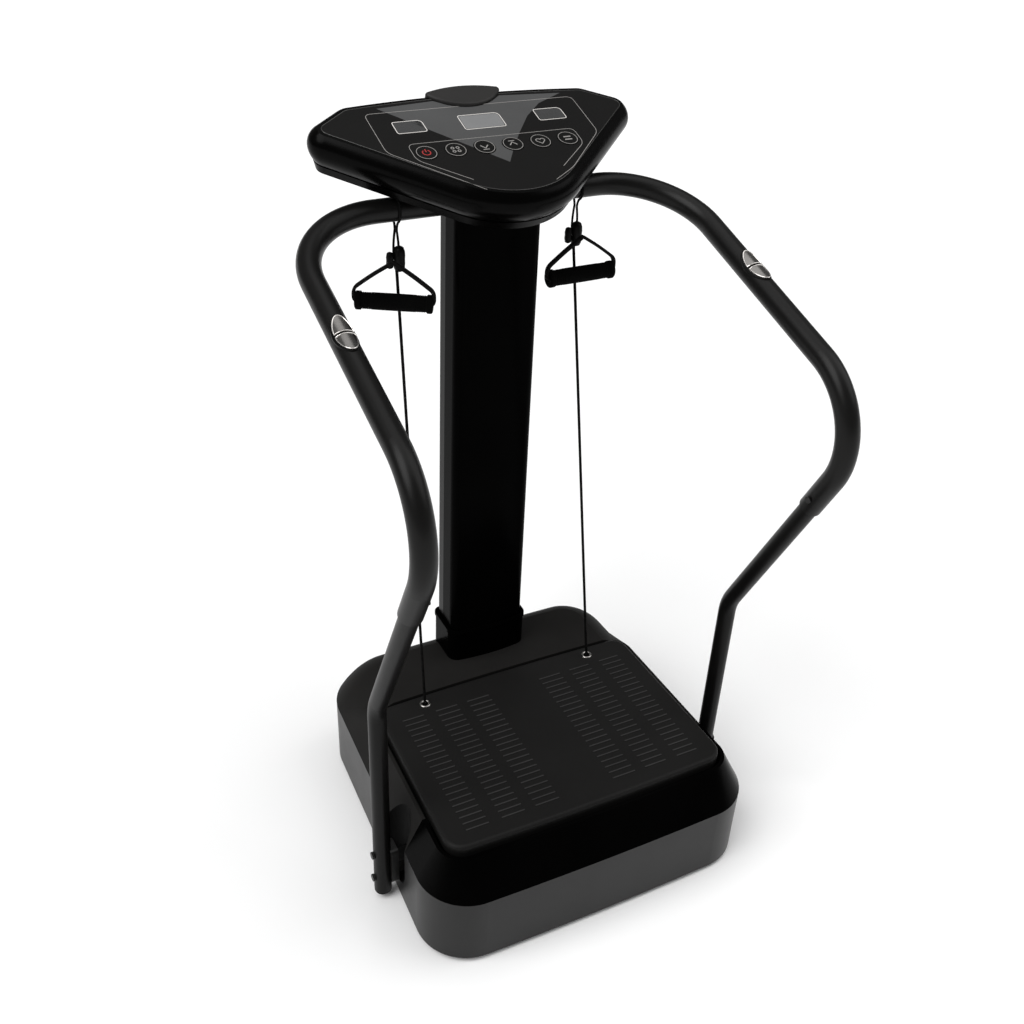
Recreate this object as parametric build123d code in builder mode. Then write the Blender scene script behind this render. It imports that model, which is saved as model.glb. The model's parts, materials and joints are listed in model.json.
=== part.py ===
from build123d import *
import os
from math import cos, radians, sin, sqrt

# Vibration plate with a console column, two bent handrails and two elastic pull cords.
# Millimetres, +Z up. The user stands on the platform and faces +Y, towards the column.
# The origin is on the floor, in the middle of the machine's outline.

os.makedirs("parts", exist_ok=True)

# ---- Driving dimensions -------------------------------------------------------------------
# A plan is (front half width, rear half width, front y, rear y, front corner radius,
# rear corner radius, front bow, rear bow).
BASE = (310, 288, -309, 294, 88, 98, 6, 1)
RIM = (275, 266.5, -267, 111, 44, 40, 5, 5)
DECK = (221, 217, 10, 221, 30, 40, 1, 3)
PLATE = (263, 254.5, -255, 96, 33, 28, 5, 5)

SKIRT_BOTTOM = 10
SKIRT_TOP = 142
RIM_Z = 205
PLATE_TOP = 219
PLATE_EDGE = 22
RECESS_FLOOR = 181
RECESS_GAP = 6
RECESS_REAR_GAP = 2.5
RECESS_WALL = 5
WALL = 3

TRAY_Z = 14
TRAY_T = 2.5
CHASSIS_Z = TRAY_Z + TRAY_T
CHASSIS_H = 40
BEAM_TOP = CHASSIS_Z + CHASSIS_H
DRIVE_PLATE_T = 4
DRIVE_PLATE_TOP = BEAM_TOP + DRIVE_PLATE_T
OUTRIGGER_H = 30
OUTRIGGER_W = 28
BRACKET_X = 262
BRACKET_PAD_X = 304
RAIL_BOLT_Z = (48, 104)
RAIL_BOLT_R = 4

# Tilting platform and its drive.
PIVOT_Z = 128
PIVOT_R = 10
LINK_X = -140
LINK_Y = -4
ECCENTRICITY = 4
JOURNAL_R = 15
RACE_R = 21
BIG_END_BORE = RACE_R + 1.42 * ECCENTRICITY + 2.8
BELT_Y = 88
PULLEY_GROOVE_R = 38
MOTOR_X = 120
MOTOR_Z = 113
MOTOR_GROOVE_R = 23
BELT_GAP = 0.4
BELT_T = 5

# Handrails: bent tube in one plane per side, with a cross run at the top.
RAIL_X = 328
RAIL_R = 18
RAIL_WALL = 2.6
LOWER_R = 15
LOWER_WALL = 2.5
RAIL_TOP = (212, 1092)
RAIL_KNEE = (-360, 917)
RAIL_LOW_BEND = (-118, 437)
RAIL_FOOT_Z = 17
SLEEVE_END = 0.40
SLEEVE_OVERLAP = 0.11
SCOOP_R = 50
SCOOP_Z = 80
RIM_BELLY = 0.53
DECK_BELLY = 0.34

# Column and console.
COLUMN_Y = 201
COLUMN = (73, 73, 167, 241, 18, 12, 7, 1)
PLINTH = (78, 78, 162, 246, 20, 14, 7, 1)
PLINTH_TOP = 288
POST_HALF = 25
CONSOLE_TILT = 18.5
CONSOLE_ORIGIN = (0, 184, 1179)
CONSOLE_DEPTH = 64
CONSOLE_SPLIT = 50
BUTTON_PITCH = 46.5
BUTTON_R = 16.5
BUTTON_HOLE_R = BUTTON_R + 0.5

# Pull cords and their handles.
CORD_R = 3
EYELET = (168, 74)
CLIP = (155, 212, 1013)
CLIP_R = 14
HANDLE_DROP = 52
HANDLE_OUT = 30
HANDLE_RISE = 2
HANDLE_TURN = {"left": -30, "right": 0}
GRIP_R = 13.5
GRIP_LENGTH = 120

SIDES = {"left": -1, "right": 1}


# ---- Helpers ------------------------------------------------------------------------------
def write(piece, name):
    """Label a finished piece and write it as STEP."""
    piece.part.label = name
    export_step(piece.part, f"parts/{name}.step")


def plan(dims, inset=0.0):
    """Four-sided plan with bowed front and rear edges and rounded corners."""
    half_front, half_rear, front, rear, r_front, r_rear, bow_front, bow_rear = dims
    with BuildSketch() as outline:
        with BuildLine():
            ThreePointArc((-half_front, front), (0, front - bow_front), (half_front, front))
            Line((half_front, front), (half_rear, rear))
            ThreePointArc((half_rear, rear), (0, rear + bow_rear), (-half_rear, rear))
            Line((-half_rear, rear), (-half_front, front))
        make_face()
        fillet(outline.vertices().group_by(Axis.Y)[0], r_front)
        fillet(outline.vertices().group_by(Axis.Y)[-1], r_rear)
        if inset:
            offset(amount=-inset)
    return outline.sketch


def between(dims_a, dims_b, t):
    """Plan dimensions part of the way from one plan to another."""
    return tuple(a + (b - a) * t for a, b in zip(dims_a, dims_b))


def shrunk(dims, d):
    """Plan dimensions moved inwards by d on every side."""
    half_front, half_rear, front, rear, r_front, r_rear, bow_front, bow_rear = dims
    return (half_front - d, half_rear - d, front + d, rear - d,
            max(r_front - d, 2), max(r_rear - d, 2), bow_front, bow_rear)


def across(y):
    """Upright plane at y whose sketch axes are X and Z."""
    return Plane(origin=(0, y, 0), x_dir=(1, 0, 0), z_dir=(0, -1, 0))


def sideways(x):
    """Upright plane at x whose sketch axes are Y and Z."""
    return Plane(origin=(x, 0, 0), x_dir=(0, 1, 0), z_dir=(1, 0, 0))


# ---- Base housing -------------------------------------------------------------------------
def shoulder(top_dims, top_z, belly, d):
    """Rounded body from the skirt's plan up to a smaller plan, all walls moved in by d."""
    mid_z = SKIRT_TOP + 0.52 * (top_z - SKIRT_TOP)
    with BuildPart() as body:
        with BuildSketch(Plane.XY.offset(SKIRT_TOP - (1 if d else 0))):
            add(plan(shrunk(BASE, d)))
        with BuildSketch(Plane.XY.offset(mid_z - d)):
            add(plan(shrunk(between(BASE, top_dims, belly), d)))
        with BuildSketch(Plane.XY.offset(top_z - d)):
            add(plan(shrunk(top_dims, d)))
        loft()
    return body.part


def recess_dims():
    """Plan dimensions of the recess: a gap round the plate, narrower at its rear edge."""
    half_front, half_rear, front, rear, r_front, r_rear, bow_front, bow_rear = PLATE
    return (half_front + RECESS_GAP, half_rear + RECESS_GAP, front - RECESS_GAP, rear + RECESS_REAR_GAP,
            r_front + RECESS_GAP, r_rear + RECESS_GAP, bow_front, bow_rear)


def scoops(radius):
    """Round pockets in the base's sides around the feet of the handrails."""
    with BuildPart() as pockets:
        for side in SIDES.values():
            with BuildSketch(Plane.XY.offset(SCOOP_Z)):
                with Locations((side * RAIL_X, RAIL_LOW_BEND[0])):
                    Circle(radius)
            extrude(amount=200)
            with Locations((side * RAIL_X, RAIL_LOW_BEND[0], SCOOP_Z)):
                Sphere(radius)
    return pockets.part


with BuildPart() as cover_outside:
    add(shoulder(RIM, RIM_Z, RIM_BELLY, 0))
    add(shoulder(DECK, PLATE_TOP, DECK_BELLY, 0))

with BuildPart() as cover_cavity:
    add(shoulder(RIM, RIM_Z, RIM_BELLY, WALL))
    add(shoulder(DECK, PLATE_TOP, DECK_BELLY, WALL))
    with BuildSketch(Plane.XY.offset(RECESS_FLOOR - WALL)):
        add(plan(recess_dims(), -RECESS_WALL))
    extrude(amount=80, mode=Mode.SUBTRACT)
    add(scoops(SCOOP_R + WALL), mode=Mode.SUBTRACT)

LUG_Y = (-190, 30)
with BuildPart() as base_cover:
    add(cover_outside.part)
    with BuildSketch(Plane.XY.offset(RECESS_FLOOR)):
        add(plan(recess_dims()))
    extrude(amount=80, mode=Mode.SUBTRACT)
    add(cover_cavity.part, mode=Mode.SUBTRACT)
    add(scoops(SCOOP_R), mode=Mode.SUBTRACT)
    # Openings for the pivot lugs, the drive link and the column post.
    with BuildSketch(Plane.XY.offset(RECESS_FLOOR + 1)):
        with Locations(*((0, y) for y in LUG_Y)):
            RectangleRounded(72, 34, 5)
        with Locations((LINK_X, LINK_Y)):
            RectangleRounded(48, 32, 5)
    extrude(amount=-20, mode=Mode.SUBTRACT)
    with BuildSketch(Plane.XY.offset(SKIRT_TOP - 2)):
        with Locations((0, COLUMN_Y)):
            RectangleRounded(2 * POST_HALF + 16, 2 * POST_HALF + 16, 5)
    extrude(amount=100, mode=Mode.SUBTRACT)
write(base_cover, "base_cover")

INLET_X = -110
INLET_BODY = (64, 27)
INLET_FLANGE = (76, 36)
INLET_Z = 78
with BuildPart() as skirt_cavity:
    with BuildSketch(Plane.XY.offset(SKIRT_BOTTOM)):
        add(plan(shrunk(BASE, WALL)))
    extrude(amount=SKIRT_TOP - SKIRT_BOTTOM)
    add(scoops(SCOOP_R + WALL), mode=Mode.SUBTRACT)

with BuildPart() as base_skirt:
    with BuildSketch(Plane.XY.offset(SKIRT_BOTTOM)):
        add(plan(BASE))
    extrude(amount=SKIRT_TOP - SKIRT_BOTTOM)
    add(skirt_cavity.part, mode=Mode.SUBTRACT)
    add(scoops(SCOOP_R), mode=Mode.SUBTRACT)
    # Windows for the handrail brackets at the sides and the power inlet at the rear.
    with BuildSketch(sideways(0)):
        with Locations((RAIL_LOW_BEND[0], BEAM_TOP + OUTRIGGER_H / 2)):
            RectangleRounded(OUTRIGGER_W + 5, OUTRIGGER_H + 1, 3)
    extrude(amount=BRACKET_X + 30, both=True, mode=Mode.SUBTRACT)
    with BuildSketch(across(BASE[3])):
        with Locations((INLET_X, INLET_Z)):
            Rectangle(INLET_BODY[0] + 2, INLET_BODY[1] + 1)
    extrude(amount=4 * WALL, both=True, mode=Mode.SUBTRACT)
write(base_skirt, "base_skirt")

VENT = (40, 5)
VENT_PITCH = (60, 14)
with BuildPart() as base_tray:
    with BuildSketch(Plane.XY.offset(TRAY_Z)):
        add(plan(shrunk(BASE, WALL + 0.3)))
        with GridLocations(*VENT_PITCH, 5, 3):
            SlotOverall(*VENT, mode=Mode.SUBTRACT)
    extrude(amount=TRAY_T)
write(base_tray, "base_tray")

FOOT_R = 24
FEET = [(side * x, y) for side in (-1, 1) for x, y in ((232, -246), (218, 236))]
with BuildPart() as rubber_feet:
    with BuildSketch():
        with Locations(*FEET):
            Circle(FOOT_R)
    extrude(amount=TRAY_Z)
    chamfer(rubber_feet.edges().group_by(Axis.Z)[0], 2)
write(rubber_feet, "rubber_feet")

SCREW_HEAD_R = 4.5
SCREW_HEAD_T = 2.4
SCREWS = [(side * x, y) for side in (-1, 1) for x, y in ((262, -60), (252, 120), (120, -286))]
with BuildPart() as tray_screws:
    with BuildSketch(Plane.XY.offset(TRAY_Z)):
        with Locations(*SCREWS):
            Circle(SCREW_HEAD_R)
    extrude(amount=-SCREW_HEAD_T)
    fillet(tray_screws.edges().group_by(Axis.Z)[0], 1.2)
write(tray_screws, "tray_screws")

# ---- Steel chassis ------------------------------------------------------------------------
SPINE_X = 190
SPINE_Y = -6
SPINE_LENGTH = 520
SPINE_W = 30
CROSS_BEAM_W = 50
FRONT_BEAM_Y = -216
CHASSIS_WALL = 2.5


def chassis_beams(thin):
    """Rectangular tubes of the chassis: two spines, two cross beams and the outrigger."""
    with BuildPart() as beams:
        with BuildSketch(Plane.XY.offset(CHASSIS_Z + thin)):
            with Locations((-SPINE_X, SPINE_Y), (SPINE_X, SPINE_Y)):
                Rectangle(SPINE_W - 2 * thin, SPINE_LENGTH + 2 * thin)
            for y in (FRONT_BEAM_Y, COLUMN_Y):
                with Locations((0, y)):
                    Rectangle(2 * SPINE_X - 10, CROSS_BEAM_W - 2 * thin)
        extrude(amount=CHASSIS_H - 2 * thin)
        with BuildSketch(Plane.XY.offset(BEAM_TOP + thin)):
            with Locations((0, RAIL_LOW_BEND[0])):
                Rectangle(2 * BRACKET_X + 2 * thin, OUTRIGGER_W - 2 * thin)
        extrude(amount=OUTRIGGER_H - 2 * thin)
    return beams.part


with BuildPart() as steel_chassis:
    add(chassis_beams(0))
    add(chassis_beams(CHASSIS_WALL), mode=Mode.SUBTRACT)
write(steel_chassis, "steel_chassis")

BRACKET_PAD = (36, 78)
BRACKET_PAD_T = 14
with BuildPart() as rail_brackets:
    for side in SIDES.values():
        with BuildSketch(sideways(side * BRACKET_X)):
            with Locations((RAIL_LOW_BEND[0], BEAM_TOP + OUTRIGGER_H / 2)):
                Rectangle(OUTRIGGER_W, OUTRIGGER_H - 4)
        extrude(amount=side * (BRACKET_PAD_X + 2 - BRACKET_X))
        with BuildSketch(sideways(side * BRACKET_PAD_X)):
            with Locations((RAIL_LOW_BEND[0], sum(RAIL_BOLT_Z) / 2)):
                RectangleRounded(*BRACKET_PAD, 8)
        extrude(amount=side * BRACKET_PAD_T)
    for side in SIDES.values():
        with BuildSketch(Plane.XY.offset(20)):
            with Locations((side * RAIL_X, RAIL_LOW_BEND[0])):
                Circle(LOWER_R)
        extrude(amount=160, mode=Mode.SUBTRACT)
    with BuildSketch(sideways(0)):
        with Locations(*((RAIL_LOW_BEND[0], z) for z in RAIL_BOLT_Z)):
            Circle(RAIL_BOLT_R + 0.2)
    extrude(amount=RAIL_X + 12, both=True, mode=Mode.SUBTRACT)
write(rail_brackets, "rail_brackets")

with BuildPart() as rail_bolts:
    for side in SIDES.values():
        for z in RAIL_BOLT_Z:
            with BuildSketch(sideways(side * (BRACKET_PAD_X - 2))):
                with Locations((RAIL_LOW_BEND[0], z)):
                    Circle(RAIL_BOLT_R)
            extrude(amount=side * (RAIL_X + LOWER_R - BRACKET_PAD_X + 2))
            with BuildSketch(sideways(side * (RAIL_X + LOWER_R))):
                with Locations((RAIL_LOW_BEND[0], z)):
                    Circle(RAIL_BOLT_R + 2.5)
            extrude(amount=side * RAIL_BOLT_R)
write(rail_bolts, "rail_bolts")

DRIVE_PLATE = (8, 410, 196, 10)
with BuildPart() as motor_mount:
    with BuildSketch(Plane.XY.offset(BEAM_TOP)):
        with Locations((0, DRIVE_PLATE[0])):
            RectangleRounded(*DRIVE_PLATE[1:])
    extrude(amount=DRIVE_PLATE_T)
write(motor_mount, "motor_mount")

# ---- Platform pivot -----------------------------------------------------------------------
PEDESTAL_Y = (FRONT_BEAM_Y, 58)
PEDESTAL_FOOT = 34
PEDESTAL_HEAD = 18
BUSH_T = 5
LUG_HALF = 11
with BuildPart() as pivot_pedestals:
    for y, foot in zip(PEDESTAL_Y, (BEAM_TOP, DRIVE_PLATE_TOP)):
        with BuildSketch(across(y)):
            with BuildLine():
                Polyline((-PEDESTAL_FOOT, foot), (PEDESTAL_FOOT, foot), (PEDESTAL_HEAD, PIVOT_Z + 14),
                         (-PEDESTAL_HEAD, PIVOT_Z + 14), close=True)
            make_face()
            with Locations((0, PIVOT_Z)):
                Circle(PIVOT_R, mode=Mode.SUBTRACT)
        extrude(amount=8, both=True)
write(pivot_pedestals, "pivot_pedestals")

with BuildPart() as pivot_shaft:
    with BuildSketch(across(PEDESTAL_Y[1] + 12)):
        with Locations((0, PIVOT_Z)):
            Circle(PIVOT_R)
    extrude(amount=PEDESTAL_Y[1] - PEDESTAL_Y[0] + 24)
    chamfer(pivot_shaft.edges().filter_by(GeomType.CIRCLE), 1)
write(pivot_shaft, "pivot_shaft")

with BuildPart() as pivot_bushes:
    for y in LUG_Y:
        with BuildSketch(across(y)):
            with Locations((0, PIVOT_Z)):
                Circle(PIVOT_R + BUSH_T)
                Circle(PIVOT_R + 0.05, mode=Mode.SUBTRACT)
        extrude(amount=LUG_HALF + 1, both=True)
write(pivot_bushes, "pivot_bushes")

FRAME_TOP = PLATE_TOP - 5
FRAME_T = 4
FRAME_PLATE = (-87, 430, 296, 20)
STIFFENER = (400, 30)
LUG_R = PIVOT_R + 14
with BuildPart() as platform_frame:
    with BuildSketch(Plane.XY.offset(FRAME_TOP)):
        with Locations((0, FRAME_PLATE[0])):
            RectangleRounded(*FRAME_PLATE[1:])
    extrude(amount=-FRAME_T)
    with BuildSketch(Plane.XY.offset(FRAME_TOP - FRAME_T)):
        for y in LUG_Y:
            with Locations((0, y)):
                Rectangle(*STIFFENER)
    extrude(amount=-2 * FRAME_T)
    for y in LUG_Y:
        with BuildSketch(across(y)):
            with Locations((0, PIVOT_Z)):
                Circle(LUG_R)
            with Locations((0, (PIVOT_Z + FRAME_TOP - FRAME_T) / 2)):
                Rectangle(2 * LUG_R, FRAME_TOP - FRAME_T - PIVOT_Z)
        extrude(amount=LUG_HALF, both=True)
    for y in LUG_Y:
        with BuildSketch(across(y)):
            with Locations((0, PIVOT_Z)):
                Circle(PIVOT_R + BUSH_T)
        extrude(amount=LUG_HALF + 1, both=True, mode=Mode.SUBTRACT)
write(platform_frame, "platform_frame")

with BuildPart() as drive_link:
    with BuildSketch(across(LINK_Y)):
        with Locations((LINK_X, PIVOT_Z)):
            Circle(BIG_END_BORE + 9)
        with Locations((LINK_X, (PIVOT_Z + FRAME_TOP - FRAME_T) / 2)):
            Rectangle(26, FRAME_TOP - FRAME_T - PIVOT_Z)
        with Locations((LINK_X, PIVOT_Z)):
            Circle(BIG_END_BORE, mode=Mode.SUBTRACT)
    extrude(amount=8, both=True)
    with BuildSketch(Plane.XY.offset(FRAME_TOP - FRAME_T)):
        with Locations((LINK_X, LINK_Y)):
            RectangleRounded(60, 28, 4)
    extrude(amount=-6)
write(drive_link, "drive_link")

# ---- Tread plate --------------------------------------------------------------------------
RIB_COLUMNS = (74, 137, 201.5)
RIB_LENGTHS = (45, 43, 42)
RIB_COUNT = 21
RIB_PITCH = 13.6
RIB_Y = -88
with BuildPart() as platform_plate:
    with BuildSketch(Plane.XY.offset(PLATE_TOP - PLATE_EDGE)):
        add(plan(PLATE))
    extrude(amount=PLATE_EDGE)
    fillet(platform_plate.faces().sort_by(Axis.Z)[-1].edges(), 7)
    with BuildSketch(Plane.XY.offset(PLATE_TOP - PLATE_EDGE)):
        add(plan(shrunk(PLATE, 5)))
    extrude(amount=PLATE_EDGE - 5, mode=Mode.SUBTRACT)
    with BuildSketch(Plane.XY.offset(PLATE_TOP)):
        with Locations((-EYELET[0], EYELET[1]), (EYELET[0], EYELET[1])):
            Circle(7.5)
    extrude(amount=-6, mode=Mode.SUBTRACT)
    # Anti-slip ribs under each foot.
    with BuildSketch(Plane.XY.offset(PLATE_TOP)):
        for x, length in zip(RIB_COLUMNS, RIB_LENGTHS):
            for side in SIDES.values():
                with Locations((side * x, RIB_Y)):
                    with GridLocations(1, RIB_PITCH, 1, RIB_COUNT):
                        SlotOverall(length, 3.4)
    extrude(amount=1.1, taper=30)
write(platform_plate, "platform_plate")

with BuildPart() as cord_eyelets:
    for side in SIDES.values():
        with BuildSketch(Plane(origin=(side * EYELET[0], EYELET[1], PLATE_TOP), x_dir=(1, 0, 0),
                               z_dir=(0, -1, 0))):
            with BuildLine():
                Polyline((5.2, -5), (7.5, -5), (7.5, 0), (10.5, 0))
                ThreePointArc((10.5, 0), (8, 2.4), (5.2, 0))
                Line((5.2, 0), (5.2, -5))
            make_face()
        revolve(axis=Axis((side * EYELET[0], EYELET[1], 0), (0, 0, 1)))
write(cord_eyelets, "cord_eyelets")

with BuildPart() as platform_bolts:
    with BuildSketch(Plane.XY.offset(FRAME_TOP - FRAME_T)):
        with Locations(*((x, -80) for x in (-190, -60, 60, 190))):
            RegularPolygon(7, 6)
    extrude(amount=-5)
write(platform_bolts, "platform_bolts")

# ---- Drive --------------------------------------------------------------------------------
BEARING_Y = (-60, 50)
with BuildPart() as shaft_bearings:
    for y in BEARING_Y:
        with BuildSketch(across(y)):
            with Locations((LINK_X, PIVOT_Z)):
                Circle(26)
            with Locations((LINK_X, (DRIVE_PLATE_TOP + PIVOT_Z) / 2)):
                Rectangle(44, PIVOT_Z - DRIVE_PLATE_TOP)
            with Locations((LINK_X, DRIVE_PLATE_TOP + 6)):
                Rectangle(96, 12)
            with Locations((LINK_X, PIVOT_Z)):
                Circle(PIVOT_R + 0.05, mode=Mode.SUBTRACT)
        extrude(amount=10, both=True)
write(shaft_bearings, "shaft_bearings")

with BuildPart() as eccentric_shaft:
    with BuildSketch(across(BELT_Y + 14)):
        with Locations((LINK_X, PIVOT_Z)):
            Circle(PIVOT_R)
    extrude(amount=BELT_Y + 14 - BEARING_Y[0] + 16)
    with BuildSketch(across(LINK_Y)):
        with Locations((LINK_X + ECCENTRICITY, PIVOT_Z)):
            Circle(JOURNAL_R)
    extrude(amount=9, both=True)
write(eccentric_shaft, "eccentric_shaft")

with BuildPart() as eccentric_bearing:
    with BuildSketch(across(LINK_Y)):
        with Locations((LINK_X + ECCENTRICITY, PIVOT_Z)):
            Circle(RACE_R)
            Circle(JOURNAL_R, mode=Mode.SUBTRACT)
    extrude(amount=7, both=True)
write(eccentric_bearing, "eccentric_bearing")


def grooved_pulley(x, z, groove_r, bore_r):
    """Flat-bottomed belt pulley between two flanges."""
    with BuildPart() as pulley:
        with BuildSketch(across(BELT_Y)):
            with Locations((x, z)):
                Circle(groove_r)
                Circle(bore_r, mode=Mode.SUBTRACT)
        extrude(amount=6, both=True)
        for y, grow in ((BELT_Y - 6, 1), (BELT_Y + 6, -1)):
            with BuildSketch(across(y)):
                with Locations((x, z)):
                    Circle(groove_r + BELT_GAP + BELT_T + 1.6)
                    Circle(bore_r, mode=Mode.SUBTRACT)
            extrude(amount=3 * grow)
    return pulley


drive_pulley = grooved_pulley(LINK_X, PIVOT_Z, PULLEY_GROOVE_R, PIVOT_R)
write(drive_pulley, "drive_pulley")
motor_pulley = grooved_pulley(MOTOR_X, MOTOR_Z, MOTOR_GROOVE_R, 7)
write(motor_pulley, "motor_pulley")


def belt_outline(extra):
    """Outline of the open belt run around both pulleys, at a height above the grooves."""
    with BuildSketch(across(BELT_Y)) as run:
        with Locations((LINK_X, PIVOT_Z)):
            Circle(PULLEY_GROOVE_R + extra)
        with Locations((MOTOR_X, MOTOR_Z)):
            Circle(MOTOR_GROOVE_R + extra)
        make_hull()
    return run.sketch


with BuildPart() as drive_belt:
    with BuildSketch(across(BELT_Y)):
        add(belt_outline(BELT_GAP + BELT_T))
        add(belt_outline(BELT_GAP), mode=Mode.SUBTRACT)
    extrude(amount=5.6, both=True)
write(drive_belt, "drive_belt")

MOTOR_R = 49
MOTOR_Y = 60
MOTOR_LENGTH = 138
MOTOR_SHAFT_R = 7
with BuildPart() as motor_body:
    with BuildSketch(across(MOTOR_Y)):
        with Locations((MOTOR_X, MOTOR_Z)):
            Circle(MOTOR_R)
    extrude(amount=MOTOR_LENGTH)
    fillet(motor_body.edges().filter_by(GeomType.CIRCLE), 5)
    with BuildSketch(Plane.XY.offset(DRIVE_PLATE_TOP)):
        with Locations((MOTOR_X, MOTOR_Y - MOTOR_LENGTH / 2)):
            RectangleRounded(120, 100, 6)
    extrude(amount=16)
    with BuildSketch(Plane.XY.offset(MOTOR_Z + 40)):
        with Locations((MOTOR_X, MOTOR_Y - MOTOR_LENGTH / 2)):
            RectangleRounded(50, 60, 5)
    extrude(amount=18)
    with BuildSketch(across(MOTOR_Y + 1)):
        with Locations((MOTOR_X, MOTOR_Z)):
            Circle(MOTOR_SHAFT_R + 0.1)
    extrude(amount=20, mode=Mode.SUBTRACT)
write(motor_body, "motor_body")

with BuildPart() as motor_shaft:
    with BuildSketch(across(BELT_Y + 12)):
        with Locations((MOTOR_X, MOTOR_Z)):
            Circle(MOTOR_SHAFT_R)
    extrude(amount=BELT_Y + 12 - (MOTOR_Y - 18))
write(motor_shaft, "motor_shaft")

BOARD_AT = (75, 138)
BOARD = (170, 62)
BOARD_Z = 30
BOARD_T = 1.8
with BuildPart() as control_board:
    with BuildSketch(Plane.XY.offset(BOARD_Z)):
        with Locations(BOARD_AT):
            Rectangle(*BOARD)
    extrude(amount=BOARD_T)
    with BuildSketch(Plane.XY.offset(CHASSIS_Z)):
        with Locations(BOARD_AT):
            with GridLocations(BOARD[0] - 16, BOARD[1] - 14, 2, 2):
                Circle(3)
    extrude(amount=BOARD_Z - CHASSIS_Z)
    with BuildSketch(Plane.XY.offset(BOARD_Z + BOARD_T)):
        with Locations((20, 138)):
            Rectangle(34, 44)
        with Locations((62, 124)):
            Circle(11)
        with Locations((62, 152)):
            Circle(11)
    extrude(amount=22)
    with BuildSketch(Plane.XY.offset(BOARD_Z + BOARD_T)):
        with Locations((118, 138)):
            Rectangle(50, 40)
    extrude(amount=8)
write(control_board, "control_board")

# ---- Power inlet and switch at the rear ---------------------------------------------------
REAR = BASE[3]
ROCKER_X = INLET_X + 22
SOCKET = (25, 17)
ROCKER = (13, 20)
SOCKET_X = INLET_X - 12
with BuildPart() as power_inlet:
    with BuildSketch(across(REAR + 3.2)):
        with Locations((INLET_X, INLET_Z)):
            RectangleRounded(*INLET_FLANGE, 3)
    extrude(amount=2)
    with BuildSketch(across(REAR + 2)):
        with Locations((INLET_X, INLET_Z)):
            Rectangle(*INLET_BODY)
    extrude(amount=30)
    with BuildSketch(across(REAR + 3.2)):
        with Locations((SOCKET_X, INLET_Z)):
            RectangleRounded(*SOCKET, 2)
    extrude(amount=SOCKET[1], mode=Mode.SUBTRACT)
    with BuildSketch(across(REAR + 3.2)):
        with Locations((ROCKER_X, INLET_Z)):
            Rectangle(ROCKER[0] + 1, ROCKER[1] + 4)
    extrude(amount=16, mode=Mode.SUBTRACT)
    with BuildSketch(across(REAR - 14)):
        with Locations((SOCKET_X - 7, INLET_Z - 2), (SOCKET_X, INLET_Z + 3), (SOCKET_X + 7, INLET_Z - 2)):
            Rectangle(2, 4)
    extrude(amount=-11)
write(power_inlet, "power_inlet")

ROCKER_TILT = 9
ROCKER_Y = REAR - 3
rocker_plane = Plane(origin=(ROCKER_X, ROCKER_Y, INLET_Z), x_dir=(1, 0, 0),
                     z_dir=(0, cos(radians(ROCKER_TILT)), sin(radians(ROCKER_TILT))))
with BuildPart() as rocker_switch:
    with BuildSketch(rocker_plane):
        Rectangle(*ROCKER)
    extrude(amount=7)
    with BuildSketch(rocker_plane):
        Rectangle(ROCKER[0], 12)
    extrude(amount=-4)
write(rocker_switch, "rocker_switch")

# ---- Column -------------------------------------------------------------------------------
console_plane = Plane(origin=CONSOLE_ORIGIN, x_dir=(1, 0, 0),
                      z_dir=(0, -sin(radians(CONSOLE_TILT)), cos(radians(CONSOLE_TILT))))
console_floor = console_plane.offset(-CONSOLE_DEPTH)


def column_shell(dims, wall, bottom):
    """Hollow column section that ends under the console's sloping floor."""
    with BuildPart() as shell:
        with BuildSketch(Plane.XY.offset(bottom)):
            add(plan(dims))
            add(plan(shrunk(dims, wall)), mode=Mode.SUBTRACT)
        extrude(amount=1180 - bottom)
        with BuildSketch(console_floor):
            Rectangle(500, 500)
        extrude(amount=200, mode=Mode.SUBTRACT)
        with BuildSketch(sideways(0)):
            with Locations(RAIL_TOP):
                Circle(RAIL_R + 0.4)
        extrude(amount=200, both=True, mode=Mode.SUBTRACT)
    return shell.part


with BuildPart() as column_front_cover:
    add(column_shell(COLUMN, 2.6, PLINTH_TOP))
    with BuildSketch(across(RAIL_TOP[0] + 0.2)):
        Rectangle(400, 3000)
    extrude(amount=-200, mode=Mode.SUBTRACT)
write(column_front_cover, "column_front_cover")

with BuildPart() as column_rear_cover:
    add(column_shell(COLUMN, 2.6, PLINTH_TOP))
    with BuildSketch(across(RAIL_TOP[0] + 0.2)):
        Rectangle(400, 3000)
    extrude(amount=200, mode=Mode.SUBTRACT)
write(column_rear_cover, "column_rear_cover")

with BuildPart() as column_plinth:
    with BuildSketch(Plane.XY.offset(150)):
        add(plan(PLINTH))
        add(plan(shrunk(PLINTH, 3)), mode=Mode.SUBTRACT)
    extrude(amount=PLINTH_TOP - 150)
    with BuildSketch(Plane.XY.offset(PLINTH_TOP - 8)):
        add(plan(shrunk(PLINTH, -2)))
        add(plan(shrunk(PLINTH, 2)), mode=Mode.SUBTRACT)
    extrude(amount=6)
    add(cover_outside.part, mode=Mode.SUBTRACT)
write(column_plinth, "column_plinth")

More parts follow.
